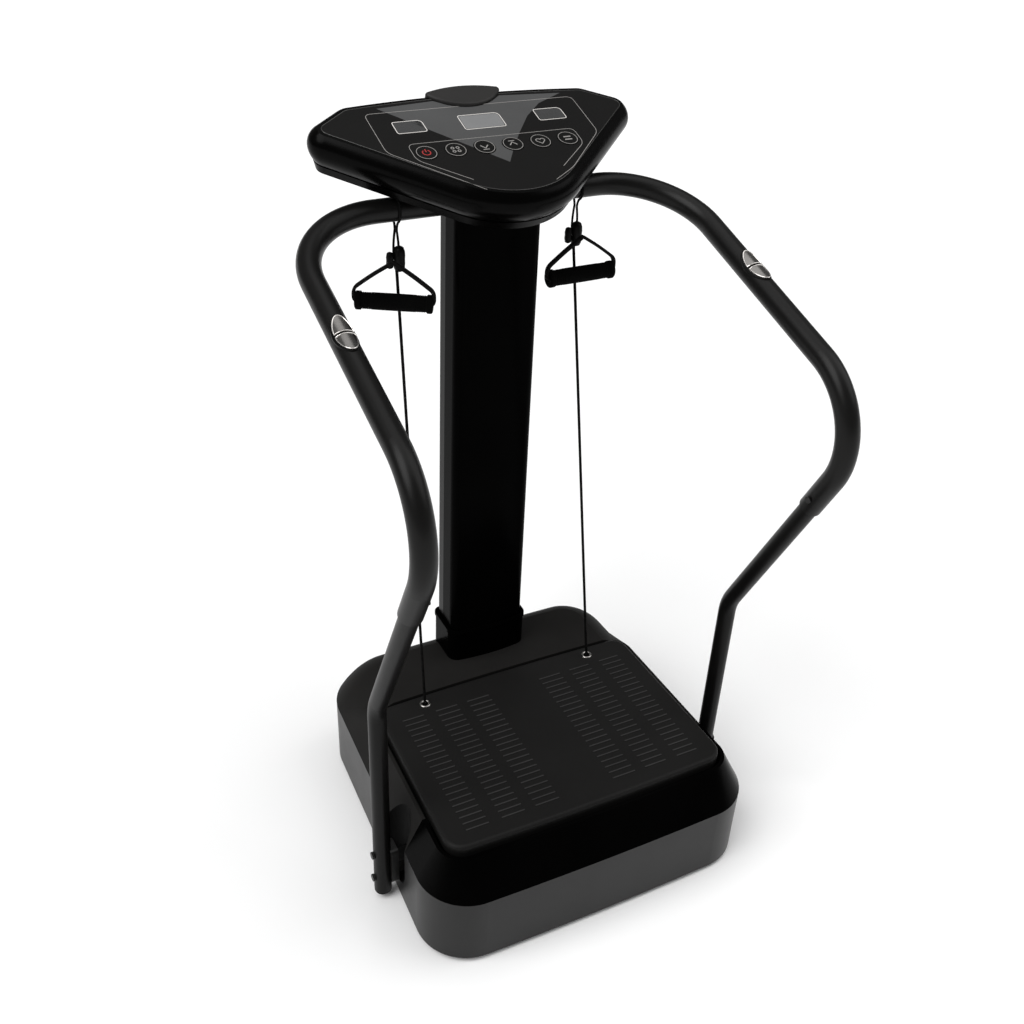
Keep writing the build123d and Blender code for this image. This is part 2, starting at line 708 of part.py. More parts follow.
with BuildPart() as column_post:
    with BuildSketch(Plane.XY.offset(BEAM_TOP)):
        with Locations((0, COLUMN_Y)):
            RectangleRounded(140, 48, 5)
    extrude(amount=6)
    with BuildSketch(Plane.XY.offset(BEAM_TOP + 6)):
        with Locations((0, COLUMN_Y)):
            RectangleRounded(2 * POST_HALF, 2 * POST_HALF, 5)
            RectangleRounded(2 * POST_HALF - 4, 2 * POST_HALF - 4, 3, mode=Mode.SUBTRACT)
    extrude(amount=1150)
    with BuildSketch(console_floor):
        Rectangle(500, 500)
    extrude(amount=200, mode=Mode.SUBTRACT)
write(column_post, "column_post")

# ---- Console ------------------------------------------------------------------------------
CONSOLE_REAR = (200, 127)
CONSOLE_SIDE = (266, 80)
CONSOLE_TIP_V = -162
CONSOLE_BOW_V = 137
TIP_R = 137
SIDE_R = 20
REAR_R = 26


def console_plan(grow=0.0):
    """Rounded triangle with its blunt tip towards the user and clipped rear corners."""
    with BuildSketch() as face:
        with BuildLine():
            Polyline(*[(-u, v) for u, v in (CONSOLE_REAR, CONSOLE_SIDE)], (0, CONSOLE_TIP_V),
                     CONSOLE_SIDE, CONSOLE_REAR)
            ThreePointArc(CONSOLE_REAR, (0, CONSOLE_BOW_V), (-CONSOLE_REAR[0], CONSOLE_REAR[1]))
        make_face()
        fillet(face.vertices().group_by(Axis.Y)[0], TIP_R)
        fillet(face.vertices().filter_by(lambda v: abs(v.X) > CONSOLE_SIDE[0] - 16), SIDE_R)
        rear = face.vertices().filter_by(lambda v: v.Y > CONSOLE_REAR[1] - 2)
        fillet(rear.filter_by(lambda v: abs(v.X) < CONSOLE_REAR[0] + 5), REAR_R)
        if grow:
            offset(amount=grow)
    return face.sketch


def console_body(levels, d):
    """Smooth body through console plans at (depth, growth) levels, moved in by d."""
    with BuildPart() as body:
        for depth, grow in levels:
            with BuildSketch(console_plane.offset(-depth)):
                add(console_plan(grow - d))
        loft()
    return body.part


LENS = {"half": 65, "chord": 143, "front": 103, "rear": 155}


def dome_outline(grow):
    """Lens-shaped outline of the raised cap at the console's rear edge."""
    with BuildSketch() as lens:
        with BuildLine():
            ThreePointArc((-LENS["half"], LENS["chord"]), (0, LENS["front"]), (LENS["half"], LENS["chord"]))
            ThreePointArc((LENS["half"], LENS["chord"]), (0, LENS["rear"]), (-LENS["half"], LENS["chord"]))
        make_face()
        fillet(lens.vertices(), 6)
        if grow:
            offset(amount=grow)
    return lens.sketch


BUTTON_X = [BUTTON_PITCH * (i - 2.5) for i in range(6)]
WINDOWS = {"centre": (0, 64, 66, 34), "left": (-117, 66, 45, 27), "right": (117, 66, 45, 27)}
SHOULDER = (16, 12)
UPPER_LEVELS = ((0, 0), SHOULDER, (CONSOLE_SPLIT, 2))
OVERLAY_MARGIN = 6
FILM_T = 1.3
with BuildPart() as console_upper_shell:
    add(console_body(UPPER_LEVELS, 0))
    add(console_body(((WALL, 0), SHOULDER, (CONSOLE_SPLIT + 1, 2)), WALL), mode=Mode.SUBTRACT)
    with BuildSketch(console_plane):
        add(console_plan(-OVERLAY_MARGIN))
    extrude(amount=-1, mode=Mode.SUBTRACT)
    with BuildSketch(console_plane):
        with Locations(*((x, 0) for x in BUTTON_X)):
            Circle(BUTTON_HOLE_R)
        for x, v, width, height in WINDOWS.values():
            with Locations((x, v)):
                RectangleRounded(width - 6, height - 6, 2)
    extrude(amount=-WALL - 2, mode=Mode.SUBTRACT)
write(console_upper_shell, "console_upper_shell")

LOWER_LIP = 3.5
with BuildPart() as lower_cavity:
    for depth, grow in ((CONSOLE_SPLIT, -1), (CONSOLE_DEPTH - WALL, -5)):
        with BuildSketch(console_plane.offset(-depth)):
            add(console_plan(grow))
    loft(ruled=True)

with BuildPart() as console_lower_shell:
    for depth, grow in ((CONSOLE_SPLIT, LOWER_LIP), (CONSOLE_DEPTH, -1)):
        with BuildSketch(console_plane.offset(-depth)):
            add(console_plan(grow))
    loft(ruled=True)
    add(lower_cavity.part, mode=Mode.SUBTRACT)
write(console_lower_shell, "console_lower_shell")

with BuildPart() as console_overlay:
    with BuildSketch(console_plane.offset(-1)):
        add(console_plan(-OVERLAY_MARGIN - 0.3))
        add(dome_outline(0.6), mode=Mode.SUBTRACT)
        with Locations(*((x, 0) for x in BUTTON_X)):
            Circle(BUTTON_HOLE_R, mode=Mode.SUBTRACT)
        for x, v, width, height in WINDOWS.values():
            with Locations((x, v)):
                RectangleRounded(width, height, 4, mode=Mode.SUBTRACT)
    extrude(amount=FILM_T)
write(console_overlay, "console_overlay")

with BuildPart() as display_windows:
    with BuildSketch(console_plane.offset(-1)):
        for x, v, width, height in WINDOWS.values():
            with Locations((x, v)):
                RectangleRounded(width - 0.4, height - 0.4, 4)
    extrude(amount=FILM_T - 0.1)
write(display_windows, "display_windows")

DOME_SKIRT = 24
DOME_RISE = 5
with BuildPart() as console_dome:
    with BuildSketch(console_plane.offset(-DOME_SKIRT)):
        add(dome_outline(0))
    extrude(amount=DOME_SKIRT + DOME_RISE)
    fillet(console_dome.faces().sort_by(Axis(CONSOLE_ORIGIN, console_plane.z_dir))[-1].edges(), 4.2)
    add(console_body(UPPER_LEVELS, 0), mode=Mode.SUBTRACT)
write(console_dome, "console_dome")

BOARD_DEPTH = 14
CONSOLE_BOARD_T = 1.6
with BuildPart() as console_board:
    with BuildSketch(console_plane.offset(-BOARD_DEPTH)):
        with BuildLine():
            Polyline((-124, -20), (124, -20), (150, 12), (150, 96), (-150, 96), (-150, 12), close=True)
        make_face()
    extrude(amount=CONSOLE_BOARD_T)
    with BuildSketch(console_plane.offset(CONSOLE_BOARD_T - BOARD_DEPTH)):
        with Locations(*((x, 0) for x in BUTTON_X)):
            Rectangle(7, 7)
    extrude(amount=2)
    with BuildSketch(console_plane.offset(CONSOLE_BOARD_T - BOARD_DEPTH)):
        for x, v, width, height in WINDOWS.values():
            with Locations((x, v)):
                Rectangle(width - 8, height - 8)
    extrude(amount=7)
write(console_board, "console_board")

for number, x in enumerate(BUTTON_X, start=1):
    with BuildPart() as button:
        with BuildSketch(console_plane.offset(-5)):
            with Locations((x, 0)):
                Circle(BUTTON_R)
        extrude(amount=6.2)
        top = button.faces().sort_by(Axis(CONSOLE_ORIGIN, console_plane.z_dir))[-1]
        fillet(top.edges(), 0.8)
        with BuildSketch(console_plane.offset(-9)):
            with Locations((x, 0)):
                Circle(3)
        extrude(amount=4)
    write(button, f"button_{number}")

# ---- Handrails ----------------------------------------------------------------------------
def rail_point(side, t):
    """Point on the straight run between the knee and the low bend."""
    y = RAIL_KNEE[0] + (RAIL_LOW_BEND[0] - RAIL_KNEE[0]) * t
    z = RAIL_KNEE[1] + (RAIL_LOW_BEND[1] - RAIL_KNEE[1]) * t
    return (side * RAIL_X, y, z)


def bent_tube(path, radius, wall):
    """Round tube swept along a wire of straight runs and tangent arcs."""
    with BuildPart() as tube:
        with BuildSketch(Plane(origin=path @ 0, z_dir=path % 0)):
            Circle(radius)
            Circle(radius - wall, mode=Mode.SUBTRACT)
        sweep(path=path)
    return tube.part


for name, side in SIDES.items():
    with BuildLine() as upper_path:
        FilletPolyline(
            (side * POST_HALF, *RAIL_TOP),
            (side * RAIL_X, *RAIL_TOP),
            (side * RAIL_X, *RAIL_KNEE),
            rail_point(side, SLEEVE_END),
            radius=[140, 120],
        )
    with BuildPart() as rail_upper:
        add(bent_tube(upper_path.wires()[0], RAIL_R, RAIL_WALL))
    write(rail_upper, f"rail_upper_{name}")

    with BuildLine() as lower_path:
        FilletPolyline(
            rail_point(side, SLEEVE_END - SLEEVE_OVERLAP),
            (side * RAIL_X, *RAIL_LOW_BEND),
            (side * RAIL_X, RAIL_LOW_BEND[0], RAIL_FOOT_Z),
            radius=90,
        )
    with BuildPart() as rail_lower:
        add(bent_tube(lower_path.wires()[0], LOWER_R, LOWER_WALL))
        with BuildSketch(sideways(side * (RAIL_X - 30))):
            with Locations(*((RAIL_LOW_BEND[0], z) for z in RAIL_BOLT_Z)):
                Circle(RAIL_BOLT_R + 0.2)
        extrude(amount=side * 60, mode=Mode.SUBTRACT)
    write(rail_lower, f"rail_lower_{name}")

with BuildPart() as rail_end_caps:
    for side in SIDES.values():
        with BuildSketch(Plane.XY.offset(RAIL_FOOT_Z - 7)):
            with Locations((side * RAIL_X, RAIL_LOW_BEND[0])):
                Circle(LOWER_R)
        extrude(amount=7)
        with BuildSketch(Plane.XY.offset(RAIL_FOOT_Z)):
            with Locations((side * RAIL_X, RAIL_LOW_BEND[0])):
                Circle(LOWER_R - LOWER_WALL - 0.1)
        extrude(amount=16)
    fillet(rail_end_caps.edges().group_by(Axis.Z)[0], 5)
write(rail_end_caps, "rail_end_caps")

sleeve_screw_y, sleeve_screw_z = rail_point(1, SLEEVE_END - 0.05)[1:]
with BuildPart() as rail_joint_screws:
    for side in SIDES.values():
        with BuildSketch(sideways(side * (RAIL_X - RAIL_R))):
            with Locations((sleeve_screw_y, sleeve_screw_z)):
                Circle(5.5)
        extrude(amount=-side * 3)
    fillet(rail_joint_screws.edges().group_by(Axis.X)[0], 1.5)
    fillet(rail_joint_screws.edges().group_by(Axis.X)[-1], 1.5)
write(rail_joint_screws, "rail_joint_screws")

# Pulse sensors: an oval pad saddled on top of each rail, with two steel halves on it.
SENSOR_Y = -41
SENSOR_PAD_R = RAIL_R + 1.4
SENSOR_STEEL_R = SENSOR_PAD_R + 0.9
slope = (RAIL_TOP[1] - RAIL_KNEE[1]) / (RAIL_TOP[0] - RAIL_KNEE[0])
rail_dir = (0, 1 / sqrt(1 + slope**2), slope / sqrt(1 + slope**2))
rail_up = (0, -rail_dir[2], rail_dir[1])


def sensor_plane(side):
    """Plane through the rail's axis at the sensor, facing up, with its x along the rail."""
    origin = (side * RAIL_X, SENSOR_Y, RAIL_KNEE[1] + slope * (SENSOR_Y - RAIL_KNEE[0]))
    return Plane(origin=origin, x_dir=rail_dir, z_dir=rail_up)


def saddle(side, outline, inner_r, outer_r):
    """Part of a sleeve around the rail under an outline seen from above."""
    plane = sensor_plane(side)
    with BuildPart() as shell:
        with BuildSketch(plane):
            add(outline)
        extrude(amount=40)
        with BuildSketch(Plane(origin=plane.origin, z_dir=rail_dir)):
            Circle(outer_r)
        extrude(amount=60, both=True, mode=Mode.INTERSECT)
        with BuildSketch(Plane(origin=plane.origin, z_dir=rail_dir)):
            Circle(inner_r)
        extrude(amount=60, both=True, mode=Mode.SUBTRACT)
    return shell.part


with BuildSketch() as pad_outline:
    Ellipse(36, 16.5)
with BuildSketch() as steel_outline:
    Ellipse(33, 14)
    Rectangle(5, 60, mode=Mode.SUBTRACT)

with BuildPart() as sensor_pads:
    for side in SIDES.values():
        add(saddle(side, pad_outline.sketch, RAIL_R, SENSOR_PAD_R))
write(sensor_pads, "sensor_pads")

with BuildPart() as sensor_plates:
    for side in SIDES.values():
        add(saddle(side, steel_outline.sketch, SENSOR_PAD_R, SENSOR_STEEL_R))
write(sensor_plates, "sensor_plates")

# ---- Pull cords, their clips and the hand grips -------------------------------------------
LOOP_R = 2.2
LOOP_WRAP_R = RAIL_R + LOOP_R + 0.2
CORD_TOP_Z = CLIP[2] - 8
KNOT_Z = 206


def cord_solid(side):
    """Taut cord from the clip down through the eyelet to its knot below the plate."""
    top = Vector(side * CLIP[0], CLIP[1], CORD_TOP_Z)
    foot = Vector(side * EYELET[0], EYELET[1], PLATE_TOP)
    down = (foot - top).normalized()
    end = foot + down * ((PLATE_TOP - KNOT_Z) / abs(down.Z))
    with BuildPart() as cord:
        with BuildSketch(Plane(origin=end, z_dir=down * -1)):
            Circle(CORD_R)
        extrude(amount=(end - top).length)
        with Locations(end):
            Sphere(6)
    return cord.part


def hanger_solid(side):
    """Loop of thin rope over the rail, both ends held in the clip."""
    x = side * CLIP[0]
    low = CLIP[2] + 14
    with BuildPart() as loop:
        with BuildLine(sideways(x)):
            FilletPolyline(
                (RAIL_TOP[0] - 4, low),
                (RAIL_TOP[0] - LOOP_WRAP_R, RAIL_TOP[1] - 8),
                (RAIL_TOP[0] - LOOP_WRAP_R, RAIL_TOP[1] + LOOP_WRAP_R),
                (RAIL_TOP[0] + LOOP_WRAP_R, RAIL_TOP[1] + LOOP_WRAP_R),
                (RAIL_TOP[0] + LOOP_WRAP_R, RAIL_TOP[1] - 8),
                (RAIL_TOP[0] + 4, low),
                radius=[6, LOOP_WRAP_R - 0.2, LOOP_WRAP_R - 0.2, 6],
            )
        with BuildSketch(Plane(origin=(x, RAIL_TOP[0] - 4, low),
                               z_dir=(0, 4 - LOOP_WRAP_R, RAIL_TOP[1] - 8 - low))):
            Circle(LOOP_R)
        sweep()
    return loop.part


with BuildPart() as hanger_loops:
    for side in SIDES.values():
        add(hanger_solid(side))
write(hanger_loops, "hanger_loops")


def handle_plane(name):
    """Plane of a hand grip's strap triangle; x runs along the grip and y points up."""
    turn = radians(HANDLE_TURN[name])
    out = (sin(turn), -cos(turn), 0)
    origin = (SIDES[name] * CLIP[0] + HANDLE_OUT * out[0], CLIP[1] + HANDLE_OUT * out[1],
              CLIP[2] + HANDLE_RISE)
    return Plane(origin=origin, x_dir=(cos(turn), sin(turn), 0), z_dir=out)


with BuildPart() as cord_clips:
    for name, side in SIDES.items():
        with BuildSketch(Plane(origin=(side * CLIP[0], CLIP[1], 0), x_dir=(1, 0, 0), z_dir=(0, -1, 0))):
            with BuildLine():
                Polyline((0, CLIP[2] + 22), (5, CLIP[2] + 22))
                ThreePointArc((5, CLIP[2] + 22), (CLIP_R, CLIP[2] + 2), (7, CLIP[2] - 20))
                Polyline((7, CLIP[2] - 20), (0, CLIP[2] - 20), (0, CLIP[2] + 22))
            make_face()
        revolve(axis=Axis((side * CLIP[0], CLIP[1], 0), (0, 0, 1)))
    # Peg and button that carry the strap.
    for name in SIDES:
        with BuildSketch(handle_plane(name).offset(-HANDLE_OUT + 8)):
            Circle(2)
        extrude(amount=HANDLE_OUT - 8 + 5.4)
        with BuildSketch(handle_plane(name).offset(5)):
            Circle(4.6)
        extrude(amount=3)
    for side in SIDES.values():
        add(cord_solid(side), mode=Mode.SUBTRACT)
        add(hanger_solid(side), mode=Mode.SUBTRACT)
write(cord_clips, "cord_clips")

STRAP_T = 4
STRAP_HALF_W = 4
APEX_R = 2.5
CORNER_R = 5
CORNER_X = GRIP_LENGTH / 2 + 0.8
GRIP_BORE_R = 5


def strap_outline(grow):
    """Triangle with round corners: peg at the apex, grip along the bottom."""
    with BuildSketch() as outline:
        Circle(APEX_R + grow)
        with Locations((-CORNER_X, -HANDLE_DROP), (CORNER_X, -HANDLE_DROP)):
            Circle(CORNER_R + grow)
        make_hull()
    return outline.sketch


for name, side in SIDES.items():
    frame_plane = handle_plane(name)
    with BuildPart() as handle_strap:
        with BuildSketch(frame_plane):
            add(strap_outline(STRAP_T))
            add(strap_outline(0), mode=Mode.SUBTRACT)
        extrude(amount=STRAP_HALF_W, both=True)
    write(handle_strap, f"handle_strap_{name}")

    grip_axis_y = -HANDLE_DROP - CORNER_R - STRAP_T / 2
    grip_start = frame_plane.from_local_coords((-GRIP_LENGTH / 2, grip_axis_y, 0))
    with BuildPart() as handle_grip:
        with BuildSketch(Plane(origin=grip_start, z_dir=frame_plane.x_dir)):
            Circle(GRIP_R)
            Circle(GRIP_BORE_R, mode=Mode.SUBTRACT)
        extrude(amount=GRIP_LENGTH)
        rims = handle_grip.edges().filter_by(GeomType.CIRCLE)
        fillet(rims.filter_by(lambda e: e.radius > GRIP_R - 0.1), 2)
    write(handle_grip, f"handle_grip_{name}")

    with BuildPart() as pull_cord:
        add(cord_solid(side))
    write(pull_cord, f"pull_cord_{name}")
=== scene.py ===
import json
from math import cos, pi, radians, sin

import bmesh
import bpy
from mathutils import Matrix, Vector
from mathutils.geometry import convex_hull_2d, delaunay_2d_cdt


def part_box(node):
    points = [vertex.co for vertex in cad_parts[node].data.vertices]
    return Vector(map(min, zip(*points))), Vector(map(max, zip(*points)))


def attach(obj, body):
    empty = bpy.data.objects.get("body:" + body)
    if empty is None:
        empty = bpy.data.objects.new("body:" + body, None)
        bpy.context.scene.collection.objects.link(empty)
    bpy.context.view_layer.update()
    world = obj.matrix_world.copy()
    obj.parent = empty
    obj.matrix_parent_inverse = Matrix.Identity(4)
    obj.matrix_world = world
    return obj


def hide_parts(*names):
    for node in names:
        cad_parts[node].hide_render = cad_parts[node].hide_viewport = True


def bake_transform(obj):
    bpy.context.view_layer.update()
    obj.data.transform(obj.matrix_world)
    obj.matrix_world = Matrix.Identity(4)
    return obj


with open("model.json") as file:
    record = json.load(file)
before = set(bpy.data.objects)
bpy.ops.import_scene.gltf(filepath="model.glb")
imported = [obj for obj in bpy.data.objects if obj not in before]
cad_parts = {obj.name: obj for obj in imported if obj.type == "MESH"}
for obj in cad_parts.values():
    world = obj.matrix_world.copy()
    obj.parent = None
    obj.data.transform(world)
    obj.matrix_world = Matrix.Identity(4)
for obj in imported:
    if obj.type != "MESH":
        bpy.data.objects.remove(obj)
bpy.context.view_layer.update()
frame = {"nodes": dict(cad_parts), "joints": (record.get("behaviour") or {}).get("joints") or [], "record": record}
nodes = frame["nodes"]
MM = 0.001
SIDES = {"left": -1, "right": 1}
UP = Vector((0, 0, 1))
ACROSS = Vector((1, 0, 0))


def joint(name):
    """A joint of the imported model."""
    return next(j for j in frame["joints"] if j["name"] == name)


def middle(name):
    """Middle of a CAD node's box."""
    low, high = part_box(name)
    return (low + high) / 2


# ---- Camera -------------------------------------------------------------------------------
def make_camera():
    """Camera looking down at the front left of the machine, rolled a little."""
    place = (-0.7698, -1.3722, 1.6796)
    azimuth, elevation, roll = radians(-27.78), radians(33.55), radians(2.62)
    forward = Vector((-sin(azimuth) * cos(elevation), cos(azimuth) * cos(elevation), -sin(elevation)))
    level = forward.cross(UP).normalized()
    upright = level.cross(forward)
    right = level * cos(roll) + upright * sin(roll)
    up = upright * cos(roll) - level * sin(roll)
    data = bpy.data.cameras.new("camera")
    data.sensor_width = 36
    data.lens = 40.83
    camera = bpy.data.objects.new("camera", data)
    bpy.context.scene.collection.objects.link(camera)
    turn = Matrix((right, up, -forward)).transposed().to_4x4()
    camera.matrix_world = Matrix.Translation(place) @ turn
    bpy.context.scene.camera = camera


make_camera()


# ---- Materials ----------------------------------------------------------------------------
CLOUD_RANGE = (0.3, 0.7)
CLOUD_SCALE = 9.0
COAT_ROUGHNESS = 0.08


def new_material(name):
    """Material, its node tree and its Principled shader."""
    made = bpy.data.materials.new(name)
    made.use_nodes = True
    tree = made.node_tree
    return made, tree, tree.nodes["Principled BSDF"]


def ramp(tree, source, low, high, dark, light):
    """Colour ramp from dark to light while a value goes from low to high."""
    made = tree.nodes.new("ShaderNodeValToRGB")
    made.color_ramp.elements[0].position = low
    made.color_ramp.elements[1].position = high
    made.color_ramp.elements[0].color = (*dark, 1)
    made.color_ramp.elements[1].color = (*light, 1)
    tree.links.new(source, made.inputs["Fac"])
    return made


def noise(tree, scale, detail=3.0, stretch=(1, 1, 1)):
    """Noise in object space, in cells per metre."""
    place = tree.nodes.new("ShaderNodeTexCoord")
    mapping = tree.nodes.new("ShaderNodeMapping")
    mapping.inputs["Scale"].default_value = stretch
    made = tree.nodes.new("ShaderNodeTexNoise")
    made.inputs["Scale"].default_value = scale
    made.inputs["Detail"].default_value = detail
    tree.links.new(place.outputs["Object"], mapping.inputs["Vector"])
    tree.links.new(mapping.outputs["Vector"], made.inputs["Vector"])
    return made


def rough_range(tree, shader, source, low, high):
    """Roughness that varies between two values with a noise."""
    made = tree.nodes.new("ShaderNodeMapRange")
    made.inputs["To Min"].default_value = low
    made.inputs["To Max"].default_value = high
    tree.links.new(source, made.inputs["Value"])
    tree.links.new(made.outputs["Result"], shader.inputs["Roughness"])


def relief(tree, shader, source, depth, strength):
    """Bump of a depth in metres from a value."""
    made = tree.nodes.new("ShaderNodeBump")
    made.inputs["Strength"].default_value = strength
    made.inputs["Distance"].default_value = depth
    tree.links.new(source, made.inputs["Height"])
    tree.links.new(made.outputs["Normal"], shader.inputs["Normal"])


def surface(name, dark, light, rough, grain, depth, strength=0.5, metal=0.0, coat=0.0,
            stretch=(1, 1, 1), shine=0.5):
    """Solid material: clouded colour, varied roughness and a fine grain in its relief."""
    made, tree, shader = new_material(name)
    shader.inputs["Specular IOR Level"].default_value = shine
    shader.inputs["Metallic"].default_value = metal
    shader.inputs["Coat Weight"].default_value = coat
    shader.inputs["Coat Roughness"].default_value = COAT_ROUGHNESS
    clouds = noise(tree, CLOUD_SCALE, 5.0)
    colour = ramp(tree, clouds.outputs["Fac"], *CLOUD_RANGE, dark, light)
    tree.links.new(colour.outputs["Color"], shader.inputs["Base Color"])
    smudge = noise(tree, CLOUD_SCALE * 3, 4.0)
    rough_range(tree, shader, smudge.outputs["Fac"], *rough)
    fine = noise(tree, grain, 2.0, stretch)
    relief(tree, shader, fine.outputs["Fac"], depth, strength)
    return made


def woven(name, dark, light, pitch, rough=(0.7, 0.9), depth=0.0004, shine=0.1):
    """Woven or braided surface: two crossed sets of bands at a pitch in metres."""
    made, tree, shader = new_material(name)
    place = tree.nodes.new("ShaderNodeTexCoord")
    heights = []
    for turn in (pi / 4, -pi / 4):
        mapping = tree.nodes.new("ShaderNodeMapping")
        mapping.inputs["Rotation"].default_value = (turn, turn, turn)
        bands = tree.nodes.new("ShaderNodeTexWave")
        bands.inputs["Scale"].default_value = 1 / (pitch * 20)
        bands.inputs["Distortion"].default_value = 0.6
        tree.links.new(place.outputs["Object"], mapping.inputs["Vector"])
        tree.links.new(mapping.outputs["Vector"], bands.inputs["Vector"])
        heights.append(bands.outputs["Fac"])
    both = tree.nodes.new("ShaderNodeMath")
    both.operation = "MAXIMUM"
    tree.links.new(heights[0], both.inputs[0])
    tree.links.new(heights[1], both.inputs[1])
    colour = ramp(tree, both.outputs["Value"], 0.2, 0.9, dark, light)
    tree.links.new(colour.outputs["Color"], shader.inputs["Base Color"])
    rough_range(tree, shader, noise(tree, 60).outputs["Fac"], *rough)
    relief(tree, shader, both.outputs["Value"], depth, 0.7)
    shader.inputs["Specular IOR Level"].default_value = shine
    return made


def grey(value, warmth=0.04):
    """Slightly warm grey."""
    return (value * (1 + warmth), value, value * (1 - warmth))


BLACK = (grey(0.0003), grey(0.0007))
CHARCOAL = (grey(0.0055), grey(0.0070))
DECK_CHARCOAL = (grey(0.0115), grey(0.0140))
# Painted highlight: a lighter grey for the tops of the platform ribs, standing in for the light they catch.
RIB_PAINTED_HIGHLIGHT = (grey(0.026, 0.01), grey(0.032, 0.01))

# The handrail posts stand in rounded pockets in the sides of the base. The polished front of the base
# cover ends at POCKET_Y.
RAIL_X = middle("rail_lower_right").x
POST_Y = middle("rail_end_caps").y
POCKET_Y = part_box("rail_end_caps")[0].y - 0.030
POCKET_R = 0.0525
RIB_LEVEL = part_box("platform_plate")[1].z - 0.0005


def masked(tree, mask, under, over):
    """Colour that changes from one clouded pair to another with a mask."""
    clouds = noise(tree, CLOUD_SCALE, 5.0)
    blend = tree.nodes.new("ShaderNodeMix")
    blend.data_type = "RGBA"
    tree.links.new(mask, blend.inputs["Factor"])
    for pair, end in ((under, "A"), (over, "B")):
        colour = ramp(tree, clouds.outputs["Fac"], *CLOUD_RANGE, *pair)
        tree.links.new(colour.outputs["Color"], blend.inputs[end])
    return blend.outputs["Result"]


def coordinate(tree, axis):
    """One axis of the place in object space."""
    place = tree.nodes.new("ShaderNodeTexCoord")
    split = tree.nodes.new("ShaderNodeSeparateXYZ")
    tree.links.new(place.outputs["Object"], split.inputs["Vector"])
    return split.outputs[axis]


def above(tree, value, limit):
    """Mask that is one where the value is over the limit."""
    made = tree.nodes.new("ShaderNodeMath")
    made.operation = "GREATER_THAN"
    made.inputs[1].default_value = limit
    tree.links.new(value, made.inputs[0])
    return made.outputs["Value"]


def two_tone(name):
    """Base cover: polished black in front of its side pockets, grained charcoal behind them."""
    made, tree, shader = new_material(name)
    shader.inputs["Specular IOR Level"].default_value = 0.03
    behind = above(tree, coordinate(tree, "Y"), POCKET_Y)
    tree.links.new(masked(tree, behind, BLACK, DECK_CHARCOAL), shader.inputs["Base Color"])
    rough_range(tree, shader, behind, 0.22, 0.55)
    relief(tree, shader, noise(tree, 2200, 2.0).outputs["Fac"], 0.00006, 0.35)
    return made


def ribbed(name):
    """Grained charcoal plastic with the tops of the ribs painted lighter as a painted highlight."""
    made, tree, shader = new_material(name)
    shader.inputs["Specular IOR Level"].default_value = 0.14
    # Painted highlight: everything above RIB_LEVEL, which is the rib tops, gets the lighter grey.
    raised = above(tree, coordinate(tree, "Z"), RIB_LEVEL)
    tree.links.new(masked(tree, raised, CHARCOAL, RIB_PAINTED_HIGHLIGHT), shader.inputs["Base Color"])
    grain = noise(tree, 2200, 3.0).outputs["Fac"]
    rough_range(tree, shader, grain, 0.50, 0.60)
    relief(tree, shader, grain, 0.0001, 0.5)
    return made


